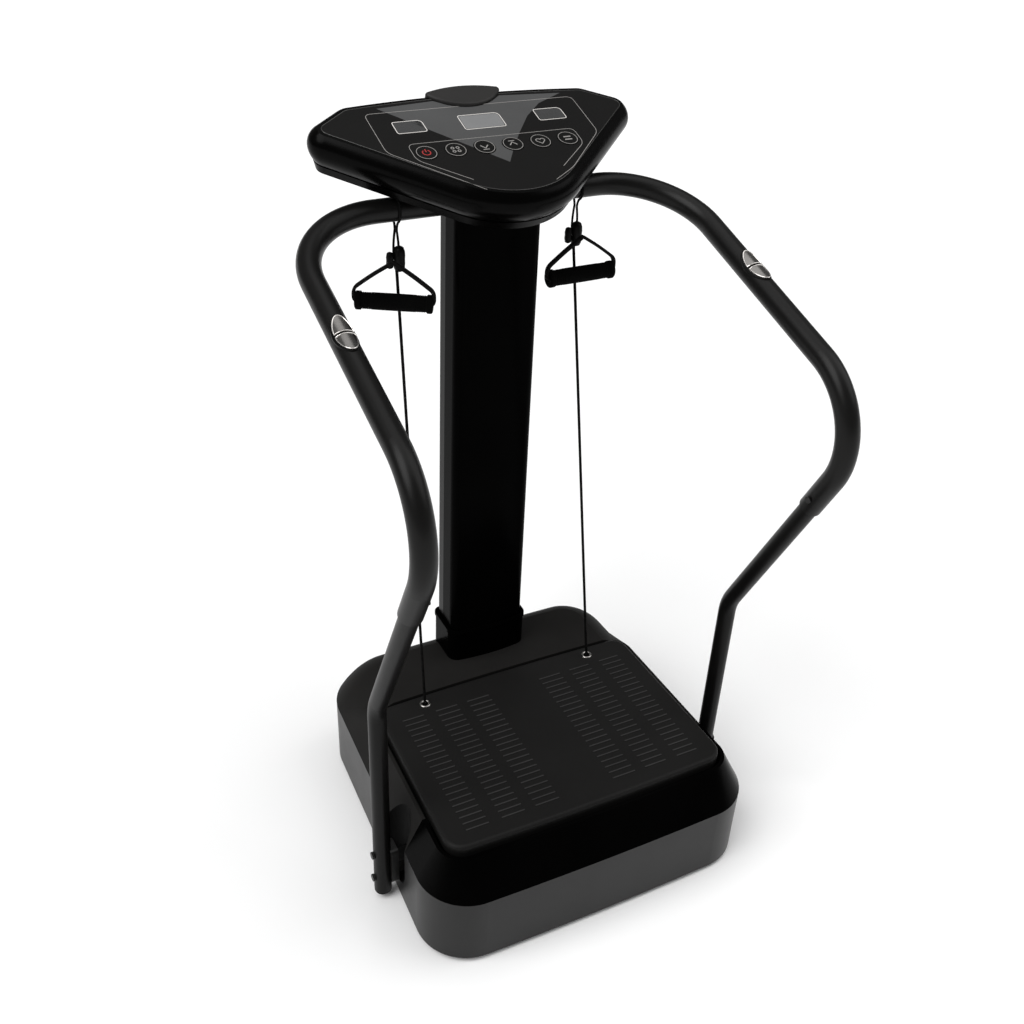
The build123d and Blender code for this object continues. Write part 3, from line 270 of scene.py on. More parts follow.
MATERIALS = {
    "satin_skirt": surface("satin_skirt", grey(0.0022), grey(0.0032), (0.34, 0.42), 2600, 0.00005, 0.35,
                           shine=0.27),
    # Painted shade: a near-black, barely reflecting colour for the recessed pockets round the rail posts.
    "pocket_painted_shade": surface("pocket_painted_shade", *BLACK, (0.4, 0.5), 2000, 0.00005, 0.3, shine=0.02),
    "deck_plastic": ribbed("deck_plastic"),
    "gloss_black": two_tone("gloss_black"),
    "column_gloss": surface("column_gloss", grey(0.0006), grey(0.0010), (0.16, 0.24), 800, 0.00002, 0.15,
                            shine=0.008),
    "console_shell": surface("console_shell", grey(0.0007), grey(0.0011), (0.20, 0.28), 2600, 0.00003, 0.3,
                             shine=0.05),
    "dome_plastic": surface("dome_plastic", grey(0.016), grey(0.019), (0.42, 0.5), 2600, 0.00005, 0.35,
                            shine=0.2),
    "overlay": surface("overlay", grey(0.0042), grey(0.0052), (0.34, 0.42), 3200, 0.00002, 0.25, shine=0.09),
    "display": surface("display", grey(0.045), grey(0.055), (0.10, 0.16), 700, 0.00001, 0.1, coat=0.3),
    "button": surface("button", grey(0.0034), grey(0.0044), (0.30, 0.38), 3200, 0.00002, 0.2, shine=0.09),
    "rail_paint": surface("rail_paint", grey(0.0042), grey(0.0056), (0.30, 0.38), 1800, 0.00006, 0.4,
                          shine=0.16),
    # Painted shade: a darker copy of the rail paint for the lower rail tubes.
    "lower_tube_painted_shade": surface("lower_tube_painted_shade", grey(0.0028), grey(0.0038), (0.32, 0.40), 1800, 0.00006, 0.4,
                          shine=0.12),
    "black_paint": surface("black_paint", grey(0.006), grey(0.009), (0.30, 0.42), 1500, 0.00006, 0.4,
                           shine=0.3),
    "chassis_paint": surface("chassis_paint", grey(0.03), grey(0.042), (0.4, 0.5), 1500, 0.00008, 0.4),
    "tray_steel": surface("tray_steel", grey(0.03), grey(0.045), (0.45, 0.6), 1200, 0.0001, 0.5),
    "motor_paint": surface("motor_paint", (0.05, 0.06, 0.07), (0.08, 0.09, 0.10), (0.4, 0.55), 800, 0.0002,
                           0.5),
    "stainless": surface("stainless", grey(0.17), grey(0.24), (0.20, 0.30), 1400, 0.00003, 0.5, metal=1.0,
                         stretch=(1, 12, 12)),
    "chrome": surface("chrome", grey(0.72), grey(0.80), (0.06, 0.14), 500, 0.00001, 0.15, metal=1.0),
    "eyelet_metal": surface("eyelet_metal", grey(0.30), grey(0.36), (0.16, 0.26), 500, 0.00001, 0.15,
                            metal=1.0),
    "zinc": surface("zinc", grey(0.42, 0.0), grey(0.55, 0.0), (0.3, 0.45), 900, 0.00003, 0.4, metal=1.0),
    "shaft_steel": surface("shaft_steel", grey(0.42), grey(0.52), (0.2, 0.32), 1500, 0.00002, 0.4, metal=1.0,
                           stretch=(12, 1, 12)),
    "bronze": surface("bronze", (0.42, 0.27, 0.11), (0.55, 0.37, 0.17), (0.3, 0.45), 1200, 0.00004, 0.4,
                      metal=1.0),
    "cast_alloy": surface("cast_alloy", grey(0.36), grey(0.46), (0.45, 0.6), 700, 0.00025, 0.6, metal=1.0),
    "circuit_board": surface("circuit_board", (0.012, 0.08, 0.03), (0.02, 0.13, 0.05), (0.3, 0.45), 600,
                             0.0001),
    "rubber": surface("rubber", grey(0.008), grey(0.013), (0.75, 0.9), 1500, 0.00015, 0.6, shine=0.3),
    "belt_rubber": surface("belt_rubber", grey(0.01), grey(0.016), (0.7, 0.85), 1200, 0.00015, 0.6,
                           shine=0.3),
    "cord_rubber": woven("cord_rubber", grey(0.0008), grey(0.0030), 0.0016),
    "strap_web": woven("strap_web", grey(0.0012), grey(0.0040), 0.0014),
    "grip_foam": surface("grip_foam", grey(0.0006), grey(0.0016), (0.82, 0.95), 1700, 0.0004, 0.8,
                         shine=0.05),
    "small_plastic": surface("small_plastic", grey(0.0016), grey(0.0030), (0.36, 0.46), 2400, 0.00006, 0.4,
                             shine=0.10),
    "printed_line": surface("printed_line", grey(0.26), grey(0.32), (0.35, 0.45), 2600, 0.00001, 0.2,
                            shine=0.2),
    "printed_bright": surface("printed_bright", grey(0.62), grey(0.70), (0.35, 0.45), 2600, 0.00001, 0.2,
                              shine=0.2),
    "printed_red": surface("printed_red", (0.34, 0.03, 0.03), (0.42, 0.04, 0.04), (0.35, 0.45), 2600,
                           0.00001, 0.2, shine=0.2),
    "printed_grey": surface("printed_grey", grey(0.066, -0.008), grey(0.080, -0.008), (0.32, 0.38), 3200,
                            0.00002, 0.2, shine=0.12),
    # Painted highlight: a light grey for the bead round the console film, standing in for the highlight along that
    # edge.
    "rim_painted_highlight": surface("rim_painted_highlight", grey(0.030), grey(0.036), (0.16, 0.22), 2600, 0.00001, 0.2, shine=0.6),
    "lcd_bright": surface("lcd_bright", grey(0.20, -0.01), grey(0.23, -0.01), (0.16, 0.24), 900, 0.00001,
                          0.1),
    "lcd_dim": surface("lcd_dim", grey(0.040, -0.01), grey(0.050, -0.01), (0.16, 0.24), 900, 0.00001, 0.1),
}

# Nodes whose finish differs a little from that of their slot. The lower rail tubes get a darker copy of the rail
# paint as painted shade.
OWN_FINISH = {
    "console_dome": "dome_plastic",
    "rail_joint_screws": "black_paint",
    "rail_bolts": "black_paint",
    "rail_lower_left": "lower_tube_painted_shade",
    "rail_lower_right": "lower_tube_painted_shade",
    "cord_eyelets": "eyelet_metal",
}


def paint_cad():
    """Every CAD node gets the material of its slot, or its own; the pockets of the base get a near-black, barely
    shiny material as painted shade.
    """
    for part in frame["record"]["subparts"]:
        thing = nodes[part["node"]]
        thing.data.materials.clear()
        thing.data.materials.append(MATERIALS[OWN_FINISH.get(part["node"], part["material_slot"])])
    # Painted shade in the pockets round the rail posts: faces lying wholly within POCKET_R get the near-black
    # material.
    for name in ("base_skirt", "base_cover"):
        mesh = nodes[name].data
        mesh.materials.append(MATERIALS["pocket_painted_shade"])
        inside = [Vector((abs(v.co.x) - RAIL_X, v.co.y - POST_Y)).length < POCKET_R
                  for v in mesh.vertices]
        for face in mesh.polygons:
            face.material_index = int(all(inside[i] for i in face.vertices))


paint_cad()


# ---- Stage --------------------------------------------------------------------------------
FLOOR_HALF = 60.0
FLOOR_DROP = 0.0005
SKY = 0.16
BACKDROP = 1.05
AIM = Vector((0, 0, 0.6))
SUNS = {
    "key": ((-3.0, -0.45, 4.2), 2.1, 46),
    "fill": ((2.8, -0.9, 3.2), 0.9, 50),
    "top": ((0.3, 0.4, 5.0), 1.0, 60),
}


def make_floor():
    """Pale matt floor."""
    paper, tree, shader = new_material("stage_paper")
    colour = ramp(tree, noise(tree, 0.4).outputs["Fac"], 0.2, 0.8, (0.93, 0.93, 0.93), (0.95, 0.95, 0.95))
    tree.links.new(colour.outputs["Color"], shader.inputs["Base Color"])
    shader.inputs["Roughness"].default_value = 1.0
    shader.inputs["Specular IOR Level"].default_value = 0.0
    mesh = bpy.data.meshes.new("stage_floor")
    corners = [(a * FLOOR_HALF, b * FLOOR_HALF, 0) for a, b in ((-1, -1), (1, -1), (1, 1), (-1, 1))]
    mesh.from_pydata(corners, [], [(0, 1, 2, 3)])
    floor = bpy.data.objects.new("stage_floor", mesh)
    floor.location.z = -FLOOR_DROP
    floor.data.materials.append(paper)
    bpy.context.scene.collection.objects.link(floor)


def make_world():
    """Dim even sky that lights the machine, in front of a white backdrop for the camera."""
    world = bpy.data.worlds.new("studio")
    bpy.context.scene.world = world
    world.use_nodes = True
    tree = world.node_tree
    sky = tree.nodes["Background"]
    backdrop = tree.nodes.new("ShaderNodeBackground")
    for background, strength in ((sky, SKY), (backdrop, BACKDROP)):
        background.inputs["Color"].default_value = (1, 1, 1, 1)
        background.inputs["Strength"].default_value = strength
    ray = tree.nodes.new("ShaderNodeLightPath")
    mix = tree.nodes.new("ShaderNodeMixShader")
    tree.links.new(ray.outputs["Is Camera Ray"], mix.inputs["Fac"])
    tree.links.new(sky.outputs["Background"], mix.inputs[1])
    tree.links.new(backdrop.outputs["Background"], mix.inputs[2])
    tree.links.new(mix.outputs["Shader"], tree.nodes["World Output"].inputs["Surface"])


def make_lights():
    """Three wide suns: a strong one from the left, a weak one from the right and one from above."""
    for name, (place, power, spread) in SUNS.items():
        data = bpy.data.lights.new(name, "SUN")
        data.angle = radians(spread)
        data.energy = power
        lamp = bpy.data.objects.new(name, data)
        lamp.location = place
        lamp.rotation_euler = (AIM - Vector(place)).to_track_quat("-Z", "Y").to_euler()
        bpy.context.scene.collection.objects.link(lamp)


make_floor()
make_world()
make_lights()


# ---- Mesh helpers -------------------------------------------------------------------------
def add_piece(name, points, faces, slot, body, smooth=True):
    """Mesh piece with one of the materials, riding on a CAD body if one is given."""
    mesh = bpy.data.meshes.new(name)
    mesh.from_pydata([tuple(p) for p in points], [], faces)
    graph = bmesh.new()
    graph.from_mesh(mesh)
    bmesh.ops.recalc_face_normals(graph, faces=graph.faces)
    graph.to_mesh(mesh)
    graph.free()
    for face in mesh.polygons:
        face.use_smooth = smooth
    thing = bpy.data.objects.new(name, mesh)
    bpy.context.scene.collection.objects.link(thing)
    mesh.materials.append(MATERIALS[slot])
    if body:
        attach(thing, body)
    return thing


def skin(count, sides, closed):
    """Faces over a row of rings with the same number of points, with flat ends unless it is closed."""
    faces = []
    for i in range(count if closed else count - 1):
        j = (i + 1) % count
        for k in range(sides):
            m = (k + 1) % sides
            faces.append((i * sides + k, i * sides + m, j * sides + m, j * sides + k))
    if not closed:
        faces.append(tuple(range(sides)))
        faces.append(tuple(range((count - 1) * sides, count * sides)))
    return faces


def neighbours(path, i, closed):
    """Points before and after a point of a path; at an open end, the point itself."""
    count = len(path)
    before = path[i - 1] if closed or i else path[i]
    after = path[(i + 1) % count] if closed or i + 1 < count else path[i]
    return before, after


def tube_rings(path, section, across, closed):
    """Points and faces of a section swept along a path; across holds its first axis at each point."""
    points = []
    for i, place in enumerate(path):
        before, after = neighbours(path, i, closed)
        along = (after - before).normalized()
        first = (across[i] - along * across[i].dot(along)).normalized()
        second = along.cross(first)
        points += [place + first * a + second * b for a, b in section]
    return points, skin(len(path), len(section), closed)


def round_section(radius, sides=12):
    return [(radius * cos(2 * pi * k / sides), radius * sin(2 * pi * k / sides)) for k in range(sides)]


def lathe(name, profile, place, axis, slot, body, sides=40, hollow=False):
    """Turned piece from a profile of (radius, distance along the axis); a hollow one closes on itself."""
    axis = Vector(axis).normalized()
    first = axis.orthogonal().normalized()
    second = axis.cross(first)
    ring = [first * cos(2 * pi * k / sides) + second * sin(2 * pi * k / sides) for k in range(sides)]
    points = [place + axis * along + outward * radius for radius, along in profile for outward in ring]
    return add_piece(name, points, skin(len(profile), sides, hollow), slot, body)


# ---- Printed console film -----------------------------------------------------------------
def node_level(name):
    """How far out of the console's face a node reaches."""
    return max(v.co.dot(CONSOLE_OUT) for v in nodes[name].data.vertices)


CONSOLE_OUT = -Vector(joint("key_1_press")["axis"]).normalized()
CONSOLE_UP = CONSOLE_OUT.cross(ACROSS)
KEYS = range(1, 7)
KEY_CENTRES = [middle(f"button_{i}") for i in KEYS]
KEY_ROW = sum(KEY_CENTRES, Vector()) / len(KEYS)
FILM_LEVEL = node_level("console_overlay")
KEY_LEVEL = node_level("button_1")

# The print is drawn in millimetres on the console's face, from the middle of the key row, as (right, up).
KEY_U = [(c.x - KEY_ROW.x) / MM for c in KEY_CENTRES]
KEY_HOLE_R = 17.0
KEY_RING_R = 15.0
WINDOWS = {"centre": (0, 64, 66, 34), "left": (-117, 66, 45, 27), "right": (117, 66, 45, 27)}
WINDOW_R = 4
WINDOW_CUT = 9
BORDER_R = 11
BORDER_W = 0.9
FIELD_BORDER = [(-62, -97), (-174, 10), (-174, 106), (174, 106), (174, 10), (92, -69), (52, -93)]
KEY_BORDER = [(-72, -72), (-137, -14), (-137, 24), (137, 24), (137, -14), (78, -64)]
CHEVRON_LEFT = [(-150, 118), (-56, 125)]
CHEVRON_RIGHT = [(56, 125), (160, 118), (112, 96), (78, 66), (46, 26), (20, -10), (0, -41)]
DIP_R = 74.0
DIP_V = 175.8
DIP_HALF = 50
BEAD_STEP = 1.5

# Heights over the face, in metres.
PRINT_T = 0.00012
PATCH_LIFT = 0.00003
BEAD_R = 0.0006


def on_console(u, v, level=None, lift=0.0):
    """Point on the console's face, or at another level over it."""
    place = KEY_ROW + ACROSS * u * MM + CONSOLE_UP * v * MM
    return place + CONSOLE_OUT * ((level or FILM_LEVEL) + lift - place.dot(CONSOLE_OUT))


def rounded(corners, radius, closed=True, steps=6):
    """Outline with its corners rounded; radius is one number or one per corner."""
    made = []
    count = len(corners)
    for i, corner in enumerate(corners):
        size = radius[i] if hasattr(radius, "__len__") else radius
        here = Vector(corner)
        if not closed and i in (0, count - 1):
            made.append(here)
            continue
        to_last = (Vector(corners[i - 1]) - here).normalized()
        to_next = (Vector(corners[(i + 1) % count]) - here).normalized()
        for k in range(steps + 1):
            t = k / steps
            made.append(here + to_last * size * (1 - t) ** 2 + to_next * size * t ** 2)
    return made


def print_line(name, outline, width, closed, slot="printed_line", body="root", level=None):
    """Raised printed line of a width in millimetres along an outline on the console."""
    points = []
    for i, here in enumerate(outline):
        before, after = neighbours(outline, i, closed)
        along = (after - before).normalized()
        side = Vector((-along.y, along.x)) * width / 2
        low, high = -PRINT_T / 4, PRINT_T
        for edge, lift in ((here - side, low), (here - side, high), (here + side, high), (here + side, low)):
            points.append(on_console(edge.x, edge.y, level, lift))
    return add_piece(name, points, skin(len(outline), 4, closed), slot, body, smooth=False)


def within(place, loop):
    """True where a flat point lies inside an outline."""
    odd = False
    for i, here in enumerate(loop):
        last = loop[i - 1]
        if (here.y > place.y) != (last.y > place.y):
            odd ^= place.x < (last.x - here.x) * (place.y - here.y) / (last.y - here.y) + here.x
    return odd


def print_region(name, outline, cuts, slot):
    """Thin printed patch inside an outline, without what lies inside the cuts."""
    points, edges = [], []
    for loop in (outline, *cuts):
        start, size = len(points), len(loop)
        points += [Vector((p[0], p[1])) for p in loop]
        edges += [(start + k, start + (k + 1) % size) for k in range(size)]
    flat, _, triangles, *_ = delaunay_2d_cdt(points, edges, [], 0, 1e-5)
    kept = []
    for triangle in triangles:
        centre = sum((flat[i] for i in triangle), Vector((0, 0))) / len(triangle)
        if within(centre, outline) and not any(within(centre, cut) for cut in cuts):
            kept.append(triangle)
    count = len(flat)
    solid = [on_console(p.x, p.y, lift=lift) for lift in (PATCH_LIFT, -PATCH_LIFT) for p in flat]
    faces = [tuple(t) for t in kept] + [tuple(i + count for i in reversed(t)) for t in kept]
    sides = [(t[k], t[(k + 1) % len(t)]) for t in kept for k in range(len(t))]
    known = set(sides)
    faces += [(b, a, a + count, b + count) for a, b in sides if (b, a) not in known]
    used = sorted({i for face in faces for i in face})
    renumber = {old: new for new, old in enumerate(used)}
    faces = [tuple(renumber[i] for i in face) for face in faces]
    return add_piece(name, [solid[i] for i in used], faces, slot, "root", smooth=False)


def arc(u, v, radius, steps=40, start=0.0, stretch=2 * pi):
    """Circle or arc; a whole circle doesn't repeat its first point."""
    last = steps if stretch == 2 * pi else steps + 1
    turns = [start + stretch * k / steps for k in range(last)]
    return [Vector((u + radius * cos(t), v + radius * sin(t))) for t in turns]


def window_outline(u, v, width, height, grow, cut):
    """Rounded rectangle with one larger corner at the upper right."""
    half, tall = width / 2 + grow, height / 2 + grow
    corners = [(u - half, v - tall), (u + half, v - tall), (u + half, v + tall), (u - half, v + tall)]
    return rounded(corners, (WINDOW_R, WINDOW_R, cut, WINDOW_R))


def print_windows():
    """White frame and grey screen of each display; the middle one is the brightest."""
    for name, (u, v, width, height) in WINDOWS.items():
        bright = name == "centre"
        frame_line = window_outline(u, v, width, height, 0.9, WINDOW_CUT)
        print_line(f"window_frame_{name}", frame_line, 1.4 if bright else 1.3, True, "printed_bright")
        screen = window_outline(u, v, width, height, -0.8, WINDOW_CUT - 1)
        print_region(f"window_screen_{name}", screen, [], "lcd_bright" if bright else "lcd_dim")


def print_borders():
    """Open borders round the printed field and round the keys, and a ring on each key."""
    print_line("field_border", rounded(FIELD_BORDER, BORDER_R, closed=False), BORDER_W, False)
    print_line("key_border", rounded(KEY_BORDER, BORDER_R, closed=False), BORDER_W, False)
    for number, u in zip(KEYS, KEY_U):
        print_line(f"key_ring_{number}", arc(u, 0, KEY_RING_R), BORDER_W, True, body=f"key_{number}",
                   level=KEY_LEVEL)


def make_field_rim():
    """Fine polished bead where the film meets the shell, coloured lighter than the shell as a painted highlight.
    """
    flat = [v.co for v in nodes["console_overlay"].data.vertices if v.co.dot(CONSOLE_OUT) > FILM_LEVEL - 1e-4]
    plan = [Vector((c.x - KEY_ROW.x, (c - KEY_ROW).dot(CONSOLE_UP))) / MM for c in flat]
    loop = []
    for index in convex_hull_2d(plan):
        if not loop or (plan[index] - loop[-1]).length > BEAD_STEP:
            loop.append(plan[index])
    path = [on_console(p.x, p.y, lift=-0.0001) for p in loop]
    points, faces = tube_rings(path, round_section(BEAD_R, 8), [CONSOLE_OUT] * len(path), True)
    add_piece("field_rim", points, faces, "rim_painted_highlight", "root")


def print_chevron():
    """Light chevron from the rear edge to a point below the keys, cut round what it crosses."""
    dip = [(x, DIP_V - (DIP_R ** 2 - x ** 2) ** 0.5) for x in range(-DIP_HALF, DIP_HALF + 1, 10)]
    outline = [Vector(p) for p in (*CHEVRON_LEFT, *dip, *CHEVRON_RIGHT)]
    holes = [arc(KEY_U[number - 1], 0, KEY_HOLE_R + 0.3) for number in (3, 4)]
    window = window_outline(*WINDOWS["centre"], 1.8, WINDOW_CUT)
    print_region("chevron", outline, [*holes, window], "printed_grey")


def print_icons():
    """Generic symbols on the keys."""

    def line(number, name, points, closed=False, slot="printed_line", width=1.3):
        moved = [Vector((KEY_U[number - 1] + p[0], p[1])) for p in points]
        print_line(f"icon_{number}_{name}", moved, width, closed, slot, f"key_{number}", KEY_LEVEL)

    line(1, "ring", arc(0, 0, 6, 24, radians(125), radians(290)), slot="printed_red", width=1.7)
    line(1, "bar", [(0, 1), (0, 8)], slot="printed_red", width=1.7)
    for k, (u, v) in enumerate(((-4, 4), (4, 4), (-4, -4), (4, -4))):
        line(2, f"dot_{k}", arc(u, v, 2.3, 16), True)
    line(3, "down", [(-6, 3), (0, -4), (6, 3)], width=2.0)
    line(3, "base", [(-5, -7), (5, -7)], width=1.6)
    line(4, "up", [(-6, -3), (0, 4), (6, -3)], width=2.0)
    line(4, "base", [(-5, 7), (5, 7)], width=1.6)
    turns = [2 * pi * k / 36 for k in range(36)]
    heart = [(7.2 * sin(t) ** 3, 0.45 * (13 * cos(t) - 5 * cos(2 * t) - 2 * cos(3 * t) - cos(4 * t)))
             for t in turns]
    line(5, "heart", heart, True, width=1.4)
    line(6, "upper", [(-6, 3.4), (6, 3.4)], width=2.6)
    line(6, "lower", [(-6, -3.4), (6, -3.4)], width=2.6)


print_windows()
print_borders()
make_field_rim()
print_chevron()
print_icons()


# ---- Pulse sensor rims --------------------------------------------------------------------
RAIL_TOP = Vector((0.212, 1.092))
RAIL_KNEE = Vector((-0.360, 0.917))
SENSOR_Y = -0.041
SENSOR_R = 0.0203
SENSOR_HALF = (0.033, 0.014)
SENSOR_SPLIT = 0.0025
SENSOR_RIM_R = 0.0009


def sensor_outline(half, steps=28):
    """Outline of one half of the oval sensor, as (along the rail, across it)."""
    length, width = SENSOR_HALF
    edge = (1 - (SENSOR_SPLIT / length) ** 2) ** 0.5 * width * 0.97
    turns = [-pi / 2 + pi * k / steps for k in range(steps + 1)]
    curve = [(half * max(length * cos(t), SENSOR_SPLIT), width * sin(t) * 0.98) for t in turns]
    return curve + [(half * SENSOR_SPLIT, edge * (1 - k / 4)) for k in range(1, 8)]


def make_sensor_rims():
    """Bright raised rim round each half of the pulse sensors, bent over the rail."""
    run = RAIL_TOP - RAIL_KNEE
    height = RAIL_KNEE.y + run.y / run.x * (SENSOR_Y - RAIL_KNEE.x)
    run.normalize()
    along, upward = Vector((0, run.x, run.y)), Vector((0, -run.y, run.x))
    for name, side in SIDES.items():
        centre = Vector((side * RAIL_X, SENSOR_Y, height))
        for half, end in ((-1, "front"), (1, "rear")):
            path, facing = [], []
            for a, b in sensor_outline(half):
                sideways = b / SENSOR_R
                outward = ACROSS * sideways + upward * (1 - sideways ** 2) ** 0.5
                path.append(centre + along * a + outward * SENSOR_R)
                facing.append(outward)
            points, faces = tube_rings(path, round_section(SENSOR_RIM_R, 8), facing, True)
            rim = add_piece(f"sensor_rim_{name}_{end}", points, faces, "chrome", "root")


make_sensor_rims()


# ---- Hand grips ---------------------------------------------------------------------------
GRIP_HALF = 0.060
GRIP_R = 0.0130
GRIP_CROWN = 0.0004
GRIP_BORE_R = 0.0052
CAP_R = 0.0146
CAP_LENGTH = 0.009
CAP_SOFT = 0.0022
FOLDS_END = 0.026
FOLD_PITCH = 0.0034
FOLD_DEPTH = 0.0004
STRAP_REACH = GRIP_HALF + 0.0022
STRAP_DROP = 0.052
STRAP_CORNER_R = 0.007
STRAP_SHOULDER = 0.013
STRAP_TUCK = 0.020
STRAP_BULGE = 0.0009
STRAP_START = Vector((0.0036, 0.0024))
STRAP_CROWN = Vector((0.0, 0.0046))


def strap_path():
    """Middle line of the strap, as (along the grip, up): sloping legs that turn into the grip's ends."""
    bottom = -STRAP_DROP - STRAP_CORNER_R
    tucked = STRAP_REACH - STRAP_TUCK
    shoulder = Vector((STRAP_REACH, STRAP_SHOULDER - STRAP_DROP))
    corners = [STRAP_START, shoulder, (STRAP_REACH, bottom), (tucked, bottom)]
    leg = rounded(corners, (0, 0.009, 0.006, 0), closed=False, steps=8)
    slope = (shoulder - STRAP_START).normalized()
    outward = Vector((-slope.y, slope.x))
    leg[1:1] = [STRAP_START.lerp(leg[1], k / 10) + outward * STRAP_BULGE * sin(pi * k / 10)
                for k in range(1, 10)]
    low = [Vector((tucked * (1 - 2 * k / 9), bottom)) for k in range(1, 9)]
    return [STRAP_CROWN, *leg, *low, *(Vector((-p.x, p.y)) for p in reversed(leg))]


def strap_section(half_width=0.004, half_depth=0.0026, soft=0.0011):
    """Rounded rectangle: wide out of the strap's plane, thin in it."""
    wide, deep = half_width - soft, half_depth - soft
    made = []
    for start, (a, b) in enumerate(((1, 1), (-1, 1), (-1, -1), (1, -1))):
        for k in range(4):
            turn = (start + k / 3) * pi / 2
            made.append((a * wide + soft * cos(turn), b * deep + soft * sin(turn)))
    return made


def grip_profile(steps=120):
    """Crowned foam with shallow folds near its ends, and a thicker rounded cap at each end."""
    profile = [(GRIP_BORE_R, -GRIP_HALF)]
    for k in range(steps + 1):
        x = -GRIP_HALF + 2 * GRIP_HALF * k / steps
        inward = GRIP_HALF - abs(x)
        if inward < CAP_LENGTH:
            radius = CAP_R - CAP_SOFT * max(0.0, 1 - inward / CAP_SOFT) ** 2
        else:
            radius = GRIP_R + GRIP_CROWN * cos(x / GRIP_HALF * pi / 2)
            if inward < FOLDS_END:
                radius -= FOLD_DEPTH * (1 - cos((inward - CAP_LENGTH) / FOLD_PITCH * 2 * pi))
        profile.append((radius, x))
    profile.append((GRIP_BORE_R, GRIP_HALF))
    return profile


def make_handle(name):
    """Webbing strap and foam grip of one handle; the strap turns about its peg at the clip."""
    swing = joint(f"handle_{name}_swing")
    body = f"handle_{name}"
    peg, out = Vector(swing["pos_m"]), Vector(swing["axis"]).normalized()
    along = out.cross(UP)
    path = [peg + along * p.x + UP * p.y for p in strap_path()]
    points, faces = tube_rings(path, strap_section(), [out] * len(path), True)
    strap = add_piece(f"strap_{name}", points, faces, "strap_web", body)
    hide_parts(f"handle_strap_{name}")
    centre = peg - UP * (STRAP_DROP + STRAP_CORNER_R)
    grip = lathe(f"grip_{name}", grip_profile(), centre, along, "grip_foam", body, sides=48, hollow=True)
    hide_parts(f"handle_grip_{name}")


for side_name in SIDES:
    make_handle(side_name)


# ---- Pull cords ---------------------------------------------------------------------------
CORD_R = 0.0025
CORD_TOP = Vector((0.155, 0.212, 1.005))
CORD_FOOT = Vector((0.168, 0.074, 0.219))
KNOT_Z = 0.206
KNOT = [(0.0008, -0.0056), (0.0042, -0.0046), (0.0058, -0.0012), (0.0048, 0.0014), (0.0056, 0.0032),
        (0.0036, 0.0054), (0.0008, 0.0058)]


def on_side(place, side):
    """A place of the right side, or its mirror image on the left."""
    return Vector((side * place.x, place.y, place.z))


def smooth_line(name, route):
    """Points along the smooth curve that has the route's points as its control points."""
    curve = bpy.data.curves.new(name, "CURVE")
    curve.dimensions = "3D"
    spline = curve.splines.new("NURBS")
    spline.points.add(len(route) - 1)
    for point, place in zip(spline.points, route):
        point.co = (*place, 1)
    spline.order_u = 3
    spline.use_endpoint_u = True
    spline.resolution_u = 24
    line = bpy.data.objects.new(name, curve)
    bpy.context.scene.collection.objects.link(line)
    bpy.context.view_layer.update()
    path = [v.co.copy() for v in bpy.data.meshes.new_from_object(line).vertices]
    bpy.data.objects.remove(line)
    return path


def make_cord(name, side):
    """Taut elastic cord from its clip to the knot under the platform."""
    top, foot = on_side(CORD_TOP, side), on_side(CORD_FOOT, side)
    down = (foot - top).normalized()
    end = foot + down * ((foot.z - KNOT_Z) / abs(down.z))
    path = smooth_line(f"cord_line_{name}", [top, top.lerp(end, 0.33), top.lerp(end, 0.66), end])
    points, faces = tube_rings(path, round_section(CORD_R, 16), [ACROSS] * len(path), False)
    cord = add_piece(f"cord_{name}", points, faces, "cord_rubber", None)
    knot = lathe(f"cord_knot_{name}", KNOT, end, down, "cord_rubber", "platform")
    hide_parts(f"pull_cord_{name}")
    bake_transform(cord)


# ---- Hangers ------------------------------------------------------------------------------
# A rope loop hangs over the handrail's cross run. Its legs come together at a neck, and end in the clip.
CLIP_AT = CORD_TOP + UP * 0.008
CROSS_Z = RAIL_TOP.y
ROPE_R = 0.0019
ROPE_GAP = 0.0040
ROPE_FOOT = CLIP_AT.z - CROSS_Z + 0.004
WRAP_R = 0.0203
WRAP_START = -62
WRAP_TURN = 304
NECK_Z = -0.032
NECK_PULL = 0.008
LOCK_BODY = [(0.0035, -0.0196), (0.0066, -0.0180), (0.0088, -0.0130), (0.0094, -0.0060), (0.0091, 0.0),
             (0.0096, 0.0060), (0.0090, 0.0130), (0.0072, 0.0184), (0.0040, 0.0204)]
LOCK_SLIDER = [(0.0024, -0.0130), (0.0048, -0.0114), (0.0060, -0.0050), (0.0056, 0.0), (0.0060, 0.0050),
               (0.0048, 0.0114), (0.0024, 0.0130)]
LOCK_PIN = [(0.0012, -0.0085), (0.0016, -0.0078), (0.0016, 0.0078), (0.0012, 0.0085)]


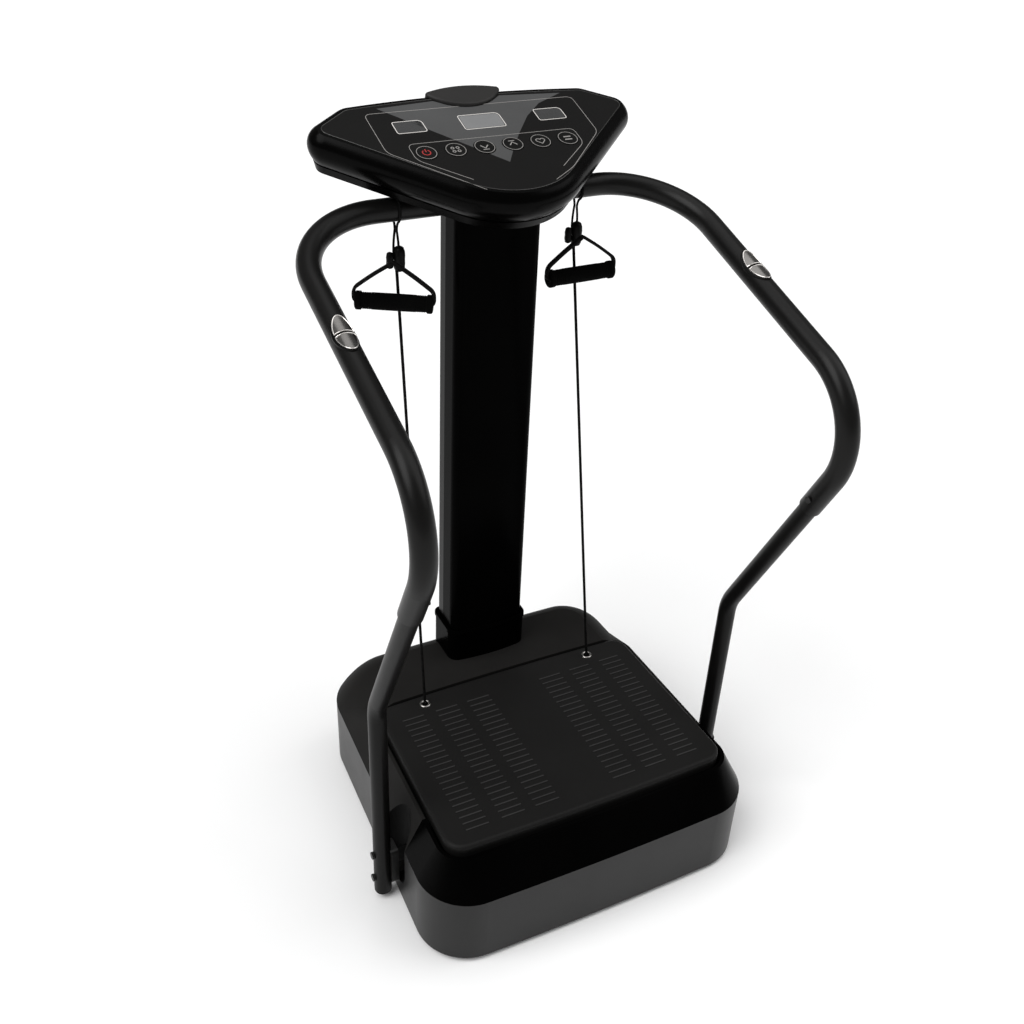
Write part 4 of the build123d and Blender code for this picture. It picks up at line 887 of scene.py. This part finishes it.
def rope_leg(start, side):
    """One leg from the rail to its foot: it bends in to the neck, then twists a quarter turn."""
    tenths = [k / 10 for k in range(1, 11)]
    neck = Vector((side * ROPE_GAP, NECK_Z))
    pull = Vector((side * ROPE_GAP * 1.1, NECK_Z + NECK_PULL))
    bend = [start.lerp(pull, t).lerp(pull.lerp(neck, t), t) for t in tenths]
    twist = [(-side * ROPE_GAP * sin(pi / 2 * t), side * ROPE_GAP * cos(pi / 2 * t),
              NECK_Z + (ROPE_FOOT - NECK_Z) * t) for t in tenths]
    return [(0.0, *p) for p in bend] + twist


def rope_route(steps=40):
    """Closed route of the rope from the axis of the rail: over it, down one leg and up the other."""
    turns = [radians(WRAP_START + WRAP_TURN * k / steps) for k in range(steps + 1)]
    over = [Vector((WRAP_R * cos(t), WRAP_R * sin(t))) for t in turns]
    foot_turns = [pi + pi * k / 8 for k in range(1, 8)]
    foot = [(-ROPE_GAP * cos(t), 0.0, ROPE_FOOT + ROPE_GAP * sin(t)) for t in foot_turns]
    loop = [(0.0, *p) for p in over] + rope_leg(over[-1], -1) + foot + rope_leg(over[0], 1)[::-1]
    return [Vector(p) for p in loop]


def make_hanger(name, side):
    """Rope loop over the rail, and the two-lobed cord lock that it ends in."""
    clip = on_side(CLIP_AT, side)
    path = [Vector((clip.x, clip.y, CROSS_Z)) + p for p in rope_route()]
    points, faces = tube_rings(path, round_section(ROPE_R, 10), [Vector((1, 0.3, 0))] * len(path), True)
    rope = add_piece(f"hanger_rope_{name}", points, faces, "cord_rubber", "root")
    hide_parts("hanger_loops")
    for part, profile, shift in (("body", LOCK_BODY, 0.0048), ("slider", LOCK_SLIDER, -0.0104)):
        lock = lathe(f"cord_lock_{part}_{name}", profile, clip + ACROSS * shift, UP, "small_plastic", "root",
                     sides=28)
        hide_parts("cord_clips")
    pin = lathe(f"cord_lock_pin_{name}", LOCK_PIN, clip - ACROSS * 0.002, ACROSS, "zinc", "root", sides=16)


for side_name, side_sign in SIDES.items():
    make_cord(side_name, side_sign)
    make_hanger(side_name, side_sign)


bpy.context.scene.view_settings.view_transform = "Standard"
